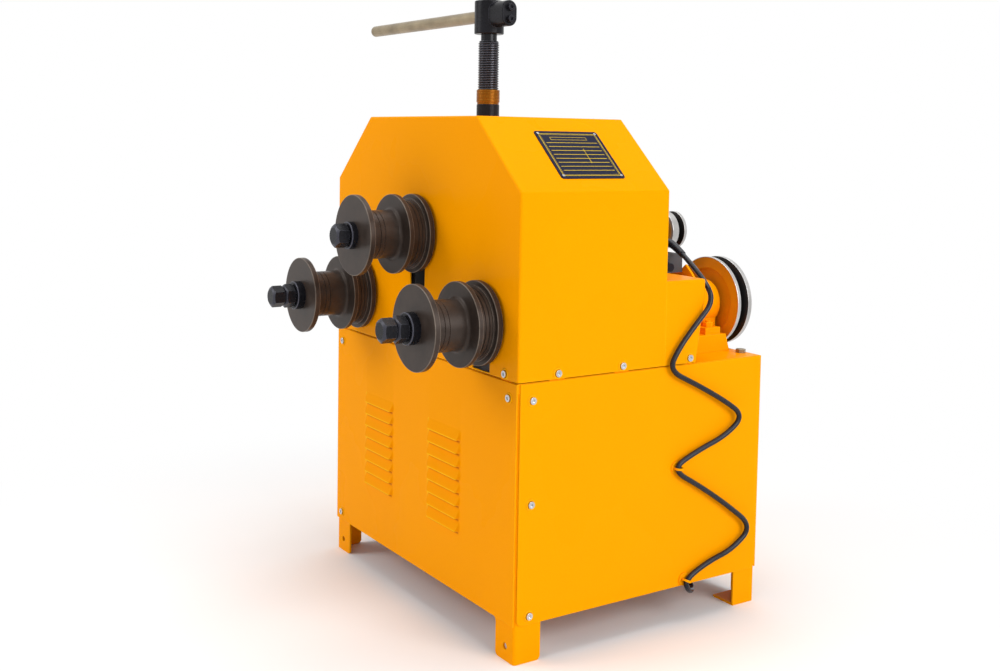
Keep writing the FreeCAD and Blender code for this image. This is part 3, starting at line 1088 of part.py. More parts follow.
stand_left = MOTOR_X - STAND_HALF_W
stand_right = MOTOR_X + STAND_HALF_W
arm_left = stand_right - ARM_W
ear_front = TERMINAL_BOX_BACK + EAR_BEHIND
ear_low = MOTOR_BASE + EAR_CLEAR - EAR_EDGE
ear_step = MOTOR_BASE + EAR_CLEAR
stand = fused(
    box(stand_left, stand_right, STAND_FRONT, STAND_BACK, MOTOR_BASE - STAND_T, MOTOR_BASE),
    box(stand_left, stand_left + STAND_T, STAND_FRONT, STAND_BACK, BED_TOP, MOTOR_BASE - STAND_T),
    box(stand_right - STAND_T, stand_right, STAND_FRONT, STAND_BACK, BED_TOP, MOTOR_BASE - STAND_T),
    box(arm_left, stand_right, STAND_BACK, ear_front, MOTOR_BASE - STAND_T, MOTOR_BASE),
    prism_y([(arm_left, MOTOR_BASE - STAND_T), (stand_right, MOTOR_BASE - STAND_T),
             (stand_right + EAR_STEP, ear_low), (stand_right + EAR_REACH, ear_low),
             (stand_right + EAR_PEAK, MOTOR_BASE + EAR_PEAK_UP), (stand_right + EAR_STEP, ear_step),
             (arm_left, ear_step)], ear_front, ear_front + EAR_T))
save("motor_stand", stand)

# ---------------------------------------------------------------- glands, control box, nameplate
lead_start = TERMINAL_BOX_X + RISER_W + GLAND_L
glands = [
    fused(rod_x(RISER_GLAND_Y, RISER_GLAND_Z, GLAND_R, TERMINAL_BOX_X + RISER_W, lead_start),
          rod_x(RISER_GLAND_Y, RISER_GLAND_Z, GLAND_NUT_R, TERMINAL_BOX_X + RISER_W,
                TERMINAL_BOX_X + RISER_W + GLAND_NUT_L)),
    fused(rod_x(SIDE_GLAND_Y, SIDE_GLAND_Z, GLAND_R, TERMINAL_BOX_RIGHT, TERMINAL_BOX_RIGHT + GLAND_L),
          rod_x(SIDE_GLAND_Y, SIDE_GLAND_Z, GLAND_NUT_R, TERMINAL_BOX_RIGHT,
                TERMINAL_BOX_RIGHT + GLAND_NUT_L)),
    fused(rod_z(BOX_GLAND_X, BOX_GLAND_Y, GLAND_R, BOX_Z - GLAND_L, BOX_Z),
          rod_z(BOX_GLAND_X, BOX_GLAND_Y, GLAND_NUT_R, BOX_Z - GLAND_NUT_L, BOX_Z)),
]
save("cable_glands", Part.Compound(glands))
save("control_box", box(LEG_OUT_X - BOX_W, LEG_OUT_X, BOX_Y, BOX_Y + BOX_D, BOX_Z, BOX_Z + BOX_H))

slope = math.radians(SLOPE_ANGLE)
plate_middle = V(HALF_W - PLATE_UP * math.cos(slope), PLATE_Y, HOOD_SHOULDER + PLATE_UP * math.sin(slope))
on_slope = FreeCAD.Placement(plate_middle, FreeCAD.Rotation(V(0, 1, 0), SLOPE_ANGLE))
plate = Part.makeBox(PLATE_H, PLATE_W, PLATE_T, V(-PLATE_H / 2, -PLATE_W / 2, 0))
plate = rounded(plate, PLATE_CORNER_R, lambda e, p: along(e, 0, 0, 1))
rivets = []
rivet_holes = []
for u in (RIVET_IN - PLATE_H / 2, PLATE_H / 2 - RIVET_IN):
    for v in (RIVET_IN - PLATE_W / 2, PLATE_W / 2 - RIVET_IN):
        rivet_holes.append(Part.makeCylinder(RIVET_R / 2, RIVET_DEEP + PLATE_T, V(u, v, -RIVET_DEEP)))
        rivets.append(fused(rivet_holes[-1], Part.makeCylinder(RIVET_R, RIVET_H, V(u, v, PLATE_T))))
plate = plate.cut(rivet_holes)
rivets = Part.Compound(rivets)
for piece in [plate, rivets] + rivet_holes:
    piece.Placement = on_slope.multiply(piece.Placement)
save("nameplate", plate)
save("screws_and_rivets", Part.Compound(cover_screws + rivets.Solids))
save("hood", drilled(hood).cut(rivet_holes))


# ---------------------------------------------------------------- lead and its clips
def bend_radius(before, here, after):
    # the radius that rounds the corner at here, and the length it takes off each run
    into = here - before
    out = after - here
    turn = into.getAngle(out)
    cut = 0.45 * min(into.Length, out.Length)
    return cut / math.tan(turn / 2), cut


def lead_path(points):
    # straight runs joined by tangent arcs; also the middle of each arc with the direction there
    edges = []
    middles = []
    start = points[0]
    for before, here, after in zip(points, points[1:], points[2:]):
        radius, cut = bend_radius(before, here, after)
        into = (here - before).normalize()
        out = (after - here).normalize()
        first = here - into * cut
        last = here + out * cut
        inward = (out - into).normalize()
        turn = into.getAngle(out)
        middle = here + inward * (radius / math.cos(turn / 2) - radius)
        edges.append(Part.LineSegment(start, first).toShape())
        edges.append(Part.Arc(first, middle, last).toShape())
        middles.append((middle, (into + out).normalize(), radius))
        start = last
    edges.append(Part.LineSegment(start, points[-1]).toShape())
    return Part.Wire(edges), middles


lead_points = [V(lead_start, RISER_GLAND_Y, RISER_GLAND_Z)]
lead_points += [V(lead_start + 11, RISER_GLAND_Y, RISER_GLAND_Z), V(255, 318, 477), V(268, 321, 450)]
lead_points += [V(269, 290, 422), V(268, 259, 389), V(267.5, 243, 360)]
lead_points += [V(268, 292, 337), V(269, 345, 309), V(270, 384, 283), V(269, 352, 258)]
lead_points += [V(267, 300, 242), V(CLIP_X, 252, 222), V(267, 306, 191), V(268, 360, 155), V(269, 409, 117)]
lead_points += [V(268, 370, 89), V(267, 328, 80), V(CLIP_X, 283, 61), V(CLIP_X, 290, 44)]
lead_points += [V(252, 312, 36), V(233, 320, 47), V(BOX_GLAND_X, BOX_GLAND_Y, 66)]
lead_points += [V(BOX_GLAND_X, BOX_GLAND_Y, BOX_Z - GLAND_L)]
path, middles = lead_path(lead_points)
print("lead", round(path.Length, 1), "mm, radii", [round(radius, 1) for _, _, radius in middles])
ring = Part.Wire(Part.makeCircle(LEAD_R, lead_points[0], lead_points[1] - lead_points[0]))
lead = path.makePipeShell([ring], True, False)
if len(lead.Solids) != 1:
    lead = Part.Solid(lead)
print("lead volume over section times length", round(lead.Volume / (math.pi * LEAD_R ** 2 * path.Length), 5))
save("power_cord", lead)
clips = []
for middle, direction, _ in (middles[11], middles[17]):
    centre = V(CLIP_X, middle.y, middle.z)
    direction = V(0, direction.y, direction.z).normalize()
    start = centre - direction * (CLIP_W / 2)
    loop = Part.makeCylinder(CLIP_R, CLIP_W, start, direction)
    pad = Part.makeCylinder(CLIP_PAD_R, CLIP_PAD_T, V(HALF_W, middle.y, middle.z), V(1, 0, 0))
    lead_bore = Part.makeCylinder(CLIP_BORE_R, CLIP_W * 3, start - direction * CLIP_W, direction)
    clips.append(fused(loop.cut(lead_bore), pad))
save("cord_clips", Part.Compound(clips))
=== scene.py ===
"""Ring roller: the finishes, the detailed pieces and the studio round its CAD nodes.

Lengths in the scene are metres. Profiles and places on the machine are millimetres: x from the cabinet's
middle, y back from its front face and z up from the floor. at() and in_row() move them into the row's frame.
"""

import math

import bpy
import numpy as np
from mathutils import Matrix, Vector


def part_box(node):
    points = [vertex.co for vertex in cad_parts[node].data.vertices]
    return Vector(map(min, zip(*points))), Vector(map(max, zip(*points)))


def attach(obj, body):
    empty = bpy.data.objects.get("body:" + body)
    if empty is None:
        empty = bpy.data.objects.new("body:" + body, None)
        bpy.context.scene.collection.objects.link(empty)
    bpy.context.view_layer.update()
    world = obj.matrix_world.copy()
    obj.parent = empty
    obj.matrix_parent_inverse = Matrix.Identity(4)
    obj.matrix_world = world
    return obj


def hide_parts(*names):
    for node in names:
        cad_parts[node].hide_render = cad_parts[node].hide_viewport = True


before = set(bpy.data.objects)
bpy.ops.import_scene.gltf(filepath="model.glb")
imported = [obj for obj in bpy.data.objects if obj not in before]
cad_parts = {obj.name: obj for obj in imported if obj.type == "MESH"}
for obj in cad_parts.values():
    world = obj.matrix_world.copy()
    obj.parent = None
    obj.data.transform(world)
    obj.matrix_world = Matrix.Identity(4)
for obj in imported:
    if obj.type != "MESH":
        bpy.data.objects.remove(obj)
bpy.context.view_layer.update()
bpy.context.scene.view_settings.view_transform = "Standard"

MIDDLE_X = 44.9
FRONT_Y = -150.25


def at(x, y, z):
    """A place on the machine as a place in metres: shifted to the row's middle and divided by 1000."""
    return Vector(((x + MIDDLE_X) / 1000, (y + FRONT_Y) / 1000, z / 1000))


def in_row(grid):
    """Many places on the machine, moved as at() moves one."""
    return (grid + np.array((MIDDLE_X, FRONT_Y, 0))) / 1000


def shade(red, green, blue):
    """A screen colour of 0 to 255 as linear light: each channel c/255 is ((c + 0.055) / 1.055) to the
    2.4, or c / 12.92 where it is very dark."""
    channels = [red / 255, green / 255, blue / 255]
    return tuple(c / 12.92 if c <= 0.04045 else ((c + 0.055) / 1.055) ** 2.4 for c in channels) + (1.0,)


# ---------------------------------------------------------------- camera

AZIMUTH = math.radians(56.74)
ELEVATION = math.radians(3.78)
ROLL = math.radians(0.95)
EYE = (1.5202, -0.97845, 0.6741)
SENSOR_WIDTH = 36.0
FOCAL_LENGTH = 42.74
SHIFT_UP = -0.1205
FARTHEST = 60.0


def aimed_camera():
    """A camera at EYE that looks at the machine. Backward is (sin az cos el, -cos az cos el, sin el), and
    the level axes across it are turned about it by ROLL: right is cos(ROLL) right + sin(ROLL) up."""
    level = math.cos(ELEVATION)
    backward = Vector((math.sin(AZIMUTH) * level, -math.cos(AZIMUTH) * level, math.sin(ELEVATION)))
    level_right = Vector((math.cos(AZIMUTH), math.sin(AZIMUTH), 0))
    level_up = backward.cross(level_right)
    right = level_right * math.cos(ROLL) + level_up * math.sin(ROLL)
    up = level_up * math.cos(ROLL) - level_right * math.sin(ROLL)
    data = bpy.data.cameras.new("camera")
    data.sensor_fit = "HORIZONTAL"
    data.sensor_width = SENSOR_WIDTH
    data.lens = FOCAL_LENGTH
    data.shift_y = SHIFT_UP
    data.clip_end = FARTHEST
    camera = bpy.data.objects.new("camera", data)
    camera.matrix_world = Matrix.Translation(EYE) @ Matrix((right, up, backward)).transposed().to_4x4()
    bpy.context.scene.collection.objects.link(camera)
    return camera


bpy.context.scene.camera = aimed_camera()


# ---------------------------------------------------------------- finishes

class Value:
    """One value in a node tree. Arithmetic on it adds the Math node for that sign."""

    def __init__(self, nodes, socket):
        self.nodes = nodes
        self.socket = socket

    def maths(self, operation, other, clamp=False):
        settings = {"operation": operation, "use_clamp": clamp}
        return self.nodes.node("ShaderNodeMath", settings, {0: self, 1: other})

    def __add__(self, other):
        return self.maths("ADD", other)

    def __sub__(self, other):
        return self.maths("SUBTRACT", other)

    def __mul__(self, other):
        return self.maths("MULTIPLY", other)

    def clamped(self):
        return self.maths("MULTIPLY", 1.0, True)

    def size(self):
        return self.maths("ABSOLUTE", 0.0)

    def under(self, limit):
        return self.maths("LESS_THAN", limit)

    def over(self, limit):
        return self.maths("GREATER_THAN", limit)

    def most(self, other):
        return self.maths("MAXIMUM", other)


class Nodes:
    """A node tree. Each node is added by its kind, its settings and what goes into its sockets."""

    def __init__(self, tree):
        self.tree = tree

    def node(self, kind, settings=None, sockets=None, output=0):
        made = self.tree.nodes.new(kind)
        for name, value in (settings or {}).items():
            setattr(made, name, value)
        for name, value in (sockets or {}).items():
            if isinstance(value, Value):
                self.tree.links.new(value.socket, made.inputs[name])
            else:
                made.inputs[name].default_value = value
        return Value(self, made.outputs[output])

    def seen_rays(self):
        """1 for camera, glossy and transmission rays, and 0 for rays that only carry light on."""
        kinds = ("Is Camera Ray", "Is Glossy Ray", "Is Transmission Ray")
        camera, glossy, through = [self.node("ShaderNodeLightPath", output=kind) for kind in kinds]
        return (camera + glossy + through).clamped()


class Finish(Nodes):
    """A material round one Principled shader, whose constants are given by socket name."""

    def __init__(self, name, **constants):
        self.material = bpy.data.materials.new(name)
        self.material.use_nodes = True
        super().__init__(self.material.node_tree)
        self.shader = self.tree.nodes["Principled BSDF"]
        for socket, value in constants.items():
            self.shader.inputs[socket.replace("_", " ")].default_value = value
        self.place = self.node("ShaderNodeTexCoord", output="Object")
        self.round_normal = None

    def give(self, socket, value):
        self.tree.links.new(value.socket, self.shader.inputs[socket])

    def noise(self, scale, detail=2.0, roughness=0.5, place=None):
        sockets = {"Vector": place or self.place, "Scale": scale, "Detail": detail, "Roughness": roughness}
        return self.node("ShaderNodeTexNoise", None, sockets)

    def rings(self, scale, detail):
        """Noise along one line, by each piece's own turned distance, so that it rings the piece."""
        sockets = {"W": self.own("turned"), "Scale": scale, "Detail": detail}
        return self.node("ShaderNodeTexNoise", {"noise_dimensions": "1D"}, sockets)

    def stretched(self, x, y, z):
        return self.node("ShaderNodeMapping", None, {"Vector": self.place, "Scale": (x, y, z)})

    def span(self, value, given, wanted):
        """The value with its given range stretched over the wanted one, and held at both ends."""
        ends = {"From Min": given[0], "From Max": given[1], "To Min": wanted[0], "To Max": wanted[1]}
        return self.node("ShaderNodeMapRange", None, {"Value": value, **ends})

    def mixed(self, factor, first, second):
        return self.node("ShaderNodeMix", {"data_type": "RGBA"}, {0: factor, 6: first, 7: second}, 2)

    def dot(self, first, second):
        settings = {"operation": "DOT_PRODUCT"}
        return self.node("ShaderNodeVectorMath", settings, {0: first, 1: second}, "Value")

    def along(self, direction, origin):
        """How far a place lies from origin along a direction: their difference's dot product with it."""
        sockets = {0: self.place, 1: tuple(origin)}
        return self.dot(self.node("ShaderNodeVectorMath", {"operation": "SUBTRACT"}, sockets), direction)

    def edge_line(self, radius, least, full):
        """Rounds the shading over every edge by radius, and gives a mask that is 1 where the rounded
        normal has turned away from the true one. It rises from 0 to 1 as their dot product goes from least
        to full."""
        self.round_normal = self.node("ShaderNodeBevel", {"samples": 6}, {"Radius": radius})
        true_normal = self.node("ShaderNodeNewGeometry", output="Normal")
        return self.span(self.dot(self.round_normal, true_normal), (least, full), (0.0, 1.0))

    def own(self, attribute):
        return self.node("ShaderNodeAttribute", {"attribute_name": attribute}, None, "Fac")

    def raised(self, height, distance, strength):
        sockets = {"Height": height, "Distance": distance, "Strength": strength}
        if self.round_normal:
            sockets["Normal"] = self.round_normal
        self.give("Normal", self.node("ShaderNodeBump", None, sockets))


def powder_coat():
    """Golden orange powder coat: an orange-peel skin, faint cloudiness, paler edges that are a painted
    highlight, and deeper colour in creases that is painted shade."""
    f = Finish("orange_powder_coat", Specular_IOR_Level=0.015)
    # painted highlight: edges, louvre lips and louvre left ends are made paler, as where light catches them
    edge = f.edge_line(radius=0.0013, least=0.995, full=0.86).most(f.own("edge"))
    cloud = f.noise(scale=5.0, detail=3.0)
    fine = f.span(f.noise(scale=420.0, detail=1.0), (0.3, 0.7), (0.0, 0.3))
    body = f.mixed(cloud, shade(250, 156, 0), shade(254, 163, 0))
    body = f.mixed(fine, body, shade(247, 149, 0))
    # painted shade: darker orange under the louvre lips and by their right ends
    body = f.mixed(f.own("crease"), body, shade(206, 104, 0))
    f.give("Base Color", f.mixed((edge * 0.55).clamped(), body, shade(255, 214, 36)))
    f.give("Roughness", f.span(cloud, (0.2, 0.8), (0.24, 0.31)))
    f.raised(f.noise(scale=700.0), distance=0.00010, strength=0.3)
    return f.material


def blackened(name, dark, light, lip, rough):
    """Blackened steel off a lathe: fine rings that follow each piece's own turned distance, mottled
    oxide, and edges made lighter, partly as rubbed wear and partly as a painted highlight."""
    f = Finish(name, Metallic=0.2, Specular_IOR_Level=0.15)
    mottle = f.span(f.noise(scale=38.0, detail=4.0, roughness=0.6), (0.32, 0.68), (0.0, 1.0))
    speck = f.span(f.noise(scale=620.0, roughness=0.6), (0.3, 0.7), (0.0, 1.0))
    rings = f.rings(scale=2600.0, detail=2.0)
    body = f.mixed(mottle, dark, light)
    body = f.mixed(speck * 0.3, body, light)
    # lighter edges: partly rubbed wear, partly painted highlight
    f.give("Base Color", f.mixed((f.own("edge") * (mottle * 0.3 + 0.3)).clamped(), body, lip))
    f.give("Roughness", f.span(mottle, (0.0, 1.0), (rough - 0.04, rough + 0.06)))
    f.raised(rings * 0.6 + speck * 0.4, distance=0.00005, strength=0.45)
    return f.material


def plain_metal(name, first, second, metallic, rough, grain=(1.0, 1.0, 1.0), scale=240.0, lip=None,
                specular=0.5):
    """Bare or oxidised metal: two colours mixed by a soft cloud, a grain drawn out along the piece,
    roughness that follows it, and edges turned towards a third colour, partly as rubbed wear and partly as
    a painted highlight."""
    f = Finish(name, Metallic=metallic, Specular_IOR_Level=specular)
    edge = f.edge_line(radius=0.0006, least=0.99, full=0.8).most(f.own("edge") * 0.45)
    cloud = f.span(f.noise(scale=26.0, detail=3.0), (0.33, 0.67), (0.0, 1.0))
    grain_value = f.noise(scale, detail=3.0, roughness=0.6, place=f.stretched(*grain))
    body = f.mixed((cloud * 0.6 + grain_value * 0.4).clamped(), first, second)
    # lighter edges: partly rubbed wear, partly painted highlight
    f.give("Base Color", f.mixed((edge * 0.6).clamped(), body, lip or second))
    f.give("Roughness", f.span(grain_value, (0.3, 0.7), (rough - 0.06, rough + 0.06)))
    f.raised(grain_value, distance=0.00003, strength=0.4)
    return f.material


def cast_or_moulded(name, first, second, rough, scale, bump, specular=0.4, metallic=0.0, lip=None):
    """Cast, painted, moulded or rubber skins: a fine grain in height and colour over one body colour,
    with edges made lighter as a painted highlight."""
    f = Finish(name, Specular_IOR_Level=specular, Metallic=metallic)
    edge = f.edge_line(radius=0.0008, least=0.99, full=0.8)
    grain_value = f.noise(scale, detail=3.0, roughness=0.6)
    cloud = f.span(f.noise(scale=18.0), (0.35, 0.65), (0.0, 1.0))
    body = f.mixed((cloud * 0.5 + grain_value * 0.5).clamped(), first, second)
    # painted highlight along edges
    f.give("Base Color", f.mixed((edge * 0.5).clamped(), body, lip or second))
    f.give("Roughness", f.span(grain_value, (0.3, 0.7), (rough - 0.06, rough + 0.06)))
    f.raised(grain_value, bump, strength=0.5)
    return f.material


def pulley_metal():
    """A painted casting with its rim turned bare: fine rings by the piece's own turned distance, orange
    where the mask called painted is 1, and a groove blackened by its belt where the mask called groove is
    1."""
    f = Finish("turned_pulley", Specular_IOR_Level=0.3)
    cloud = f.span(f.noise(scale=30.0, detail=3.0), (0.33, 0.67), (0.0, 1.0))
    groove = f.own("groove")
    painted = f.own("painted")
    body = f.mixed(cloud, shade(172, 170, 168), shade(200, 199, 198))
    # painted highlight: the rims' rounded edges made near white
    body = f.mixed(f.own("edge") * 0.6, body, shade(246, 246, 248))
    body = f.mixed(painted, body, f.mixed(cloud, shade(206, 140, 8), shade(218, 150, 12)))
    f.give("Base Color", f.mixed(groove, body, shade(16, 15, 16)))
    f.give("Metallic", f.span(groove.most(painted), (0.0, 1.0), (0.8, 0.0)))
    f.give("Roughness", f.span(groove.most(painted), (0.0, 1.0), (0.3, 0.42)))
    f.raised(f.rings(scale=1500.0, detail=1.0), distance=0.00002, strength=0.25)
    return f.material


PLATE_ANGLE = math.radians(41.82)
PLATE_MIDDLE = at(208.2, 127.5, 651.3)
# on the nameplate, in metres
PLATE_HALF_DOWN = 0.0425
PLATE_HALF_OVER = 0.0495
BORDER_IN = 0.0022
INNER_LINE_IN = 0.0040
FORM_IN = 0.0075
FORM_TOP = -0.026
RULE_PITCH = 0.0076
COLUMN_OVER = 0.012
COLUMN_TOP = -0.011
COLUMN_BOTTOM = 0.0165
HEADING_UP = 0.031
HEADING_BACK = 0.002
HEADING_HALF_DOWN = 0.0028
HEADING_HALF_OVER = 0.030
HEADING_LINE = 0.0006


def printed_plate():
    """Dark plate with a yellow double border and ruled form lines. Down is the distance down the slope
    from the plate's middle, over is the distance across it, and outside is how far a place lies past the
    nearest edge, less than 0 on the plate. A rule shows where down / RULE_PITCH is within 0.06 of a whole
    number."""
    f = Finish("navy_plate", Specular_IOR_Level=0.1, Metallic=0.0)
    down = f.along((math.cos(PLATE_ANGLE), 0.0, -math.sin(PLATE_ANGLE)), PLATE_MIDDLE)
    over = f.along((0.0, 1.0, 0.0), PLATE_MIDDLE)
    outside = (down.size() - PLATE_HALF_DOWN).most(over.size() - PLATE_HALF_OVER)
    border = (outside + BORDER_IN).size().under(0.00045)
    inner = (outside + INNER_LINE_IN).size().under(0.0002)
    form = outside.under(-FORM_IN)
    row = f.node("ShaderNodeMath", {"operation": "FRACT"}, {0: down * (1 / RULE_PITCH) + 10.5}) - 0.5
    rules = row.size().under(0.06) * form * down.over(FORM_TOP)
    column = (over - COLUMN_OVER).size().under(0.0004) * form
    column = column * down.over(COLUMN_TOP) * down.under(COLUMN_BOTTOM)
    heading_down = (down + HEADING_UP).size()
    heading_over = (over + HEADING_BACK).size()
    heading = heading_down.under(HEADING_HALF_DOWN) * heading_over.under(HEADING_HALF_OVER)
    heading_rim = heading_down.over(HEADING_HALF_DOWN - HEADING_LINE)
    heading_rim = heading_rim.most(heading_over.over(HEADING_HALF_OVER - HEADING_LINE))
    speck = f.noise(scale=700.0)
    drawn = border.most(inner).most(rules).most(column).most(heading * heading_rim)
    body = f.mixed(speck, shade(15, 18, 40), shade(22, 26, 54))
    f.give("Base Color", f.mixed((drawn * 0.85).clamped(), body, shade(226, 190, 40)))
    f.give("Roughness", f.span(drawn, (0.0, 1.0), (0.34, 0.46)))
    f.raised(speck * 0.2 + drawn, distance=0.00004, strength=0.5)
    return f.material


# each lip colour is the lighter edge colour: a painted highlight, with rubbed wear on the metals
finishes = {
    "orange_paint": powder_coat(),
    "blackened_steel": blackened(
        "blackened_roller_steel", shade(52, 43, 38), shade(68, 58, 52), lip=shade(146, 134, 122),
        rough=0.34),
    "black_oxide": plain_metal(
        "black_oxide_steel", shade(18, 18, 21), shade(32, 32, 37), metallic=0.1, rough=0.28,
        lip=shade(140, 140, 156), specular=0.12),
    "oiled_screw": plain_metal(
        "oiled_screw_steel", shade(14, 14, 16), shade(24, 24, 27), metallic=0.4, rough=0.18,
        lip=shade(150, 150, 166), specular=0.3),
    "machined_steel": plain_metal(
        "machined_steel", shade(150, 148, 144), shade(188, 186, 182), metallic=1.0, rough=0.34),
    "raw_steel": plain_metal(
        "weathered_bar_steel", shade(112, 98, 74), shade(168, 152, 122), metallic=0.6, rough=0.34,
        grain=(0.2, 1.0, 1.0), scale=260.0, lip=shade(206, 192, 160)),
    "grey_paint": cast_or_moulded(
        "grey_machine_paint", shade(66, 68, 72), shade(82, 84, 88), rough=0.42, scale=500.0, bump=0.00005,
        lip=shade(150, 152, 156)),
    "grey_iron": cast_or_moulded(
        "cast_iron", shade(84, 84, 86), shade(112, 111, 110), rough=0.6, scale=260.0, bump=0.0002,
        metallic=0.5),
    "machined_aluminium": pulley_metal(),
    "bronze": plain_metal(
        "bronze", shade(108, 62, 2), shade(144, 88, 8), metallic=0.5, rough=0.32, grain=(1.0, 1.0, 9.0),
        scale=320.0, lip=shade(206, 146, 44), specular=0.15),
    "stainless": plain_metal(
        "stainless_screws", shade(176, 178, 182), shade(214, 216, 220), metallic=1.0, rough=0.24,
        lip=shade(240, 240, 242)),
    "black_plastic": cast_or_moulded(
        "black_plastic", shade(24, 24, 32), shade(34, 34, 44), rough=0.36, scale=800.0, bump=0.00004,
        specular=0.15, lip=shade(110, 110, 116)),
    "black_rubber": cast_or_moulded(
        "black_rubber", shade(20, 22, 30), shade(30, 32, 42), rough=0.26, scale=900.0, bump=0.00003,
        specular=0.3),
    "navy_print": printed_plate(),
}

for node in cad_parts.values():
    slots = node.data.materials
    for number, material in enumerate(list(slots)):
        known = [slot for slot in finishes if material and material.name.split(".")[0].startswith(slot)]
        if known:
            slots[number] = finishes[known[0]]


# ---------------------------------------------------------------- the lead

def smooth_cord(name, route, radius):
    """A round cord: a smooth line through space with the route's places as its control points, and a
    circle carried along it."""
    data = bpy.data.curves.new(name, "CURVE")
    data.dimensions = "3D"
    data.bevel_depth = radius
    data.bevel_resolution = 5
    data.resolution_u = 12
    data.use_fill_caps = True
    line = data.splines.new("NURBS")
    line.points.add(len(route) - 1)
    for point, place in zip(line.points, route):
        point.co = (*place, 1.0)
    line.use_endpoint_u = True
    line.order_u = 3
    made = bpy.data.objects.new(name, data)
    bpy.context.scene.collection.objects.link(made)
    return made


LEAD_ROUTE = [
    (110, 375, 517), (121, 375, 517), (255, 318, 477), (268, 321, 450), (269, 290, 422), (268, 259, 389),
    (267.5, 243, 360), (268, 292, 337), (269, 345, 309), (270, 384, 283), (269, 352, 258), (267, 300, 242),
    (266.6, 252, 222), (267, 306, 191), (268, 360, 155), (269, 409, 117), (268, 370, 89), (267, 328, 80),
    (266.6, 283, 61), (266.6, 290, 44), (252, 312, 36), (233, 320, 47), (225, 310, 66), (225, 310, 86),
]
LEAD_RADIUS = 0.00375
lead = smooth_cord("motor_lead", [at(*place) for place in LEAD_ROUTE], LEAD_RADIUS)
lead.data.materials.append(finishes["black_rubber"])
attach(lead, "frame")
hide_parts("power_cord")


def line_of(curve):
    """The places that a curve's own smooth line runs through, with the distance along it to each."""
    bare = curve.data.copy()
    bare.bevel_depth = 0.0
    holder = bpy.data.objects.new("line_reader", bare)
    mesh = bpy.data.meshes.new_from_object(holder)
    places = np.empty(len(mesh.vertices) * 3)
    mesh.vertices.foreach_get("co", places)
    places = places.reshape(-1, 3)
    bpy.data.objects.remove(holder)
    bpy.data.meshes.remove(mesh)
    bpy.data.curves.remove(bare)
    return places, np.concatenate([[0.0], np.cumsum(np.linalg.norm(np.diff(places, axis=0), axis=1))])


# ---------------------------------------------------------------- turned and formed surfaces

SAME_PLACE = 1e-9


def skin(name, grid, closed_along, finish, body, values=None, sharp=32.0):
    """A surface from a grid of places, rows along it and columns round it. Neighbouring places make a
    quad; where a whole first or last row is one place it becomes a pole with triangles. The faces are
    turned outwards by the sign of the enclosed volume, which is the sum over the faces of their corner
    products. values are masks by name, one for each place."""
    rows, columns = grid.shape[:2]
    index = np.arange(rows * columns).reshape(rows, columns)
    for end in (0, rows - 1):
        if np.ptp(grid[end], axis=0).max() < SAME_PLACE:
            index[end] = index[end, 0]
    first = index if closed_along else index[:-1]
    second = np.roll(index, -1, axis=0) if closed_along else index[1:]
    beside = [np.roll(row, -1, axis=1) for row in (second, first)]
    quads = np.stack([first, second, *beside], -1).reshape(-1, 4)
    points = grid.reshape(-1, 3)
    a, b, c, d = [points[quads[:, corner]] for corner in range(4)]
    if np.sum(a * np.cross(b, c)) + np.sum(a * np.cross(c, d)) < 0:
        quads = quads[:, ::-1]
    first_pole = quads[:, 0] == quads[:, 3]
    last_pole = quads[:, 1] == quads[:, 2]
    whole = quads[~(first_pole | last_pole)]
    triangles = np.concatenate([quads[first_pole][:, :3], quads[last_pole][:, [0, 1, 3]]])
    used, corners = np.unique(np.concatenate([whole.ravel(), triangles.ravel()]), return_inverse=True)
    faces = corners[:whole.size].reshape(-1, 4).tolist() + corners[whole.size:].reshape(-1, 3).tolist()
    mesh = bpy.data.meshes.new(name)
    mesh.from_pydata(points[used].tolist(), [], faces)
    mesh.shade_smooth()
    mesh.set_sharp_from_angle(angle=math.radians(sharp))
    for label, value in (values or {}).items():
        mask = np.broadcast_to(value, (rows, columns)).reshape(-1)[used]
        mesh.attributes.new(label, "FLOAT", "POINT").data.foreach_set("value", mask.astype(np.float32))
    mesh.materials.append(finishes[finish])
    piece = bpy.data.objects.new(name, mesh)
    bpy.context.scene.collection.objects.link(piece)
    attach(piece, body)
    return piece


# outer arcs up to this radius get the lighter edge mask: partly rubbed wear, partly painted highlight
LARGEST_WORN_AND_LIT_ARC = 3.0
ARC_SHARE = 0.45
STRAIGHT = 0.01              # half a turn, in radians, that is taken as none


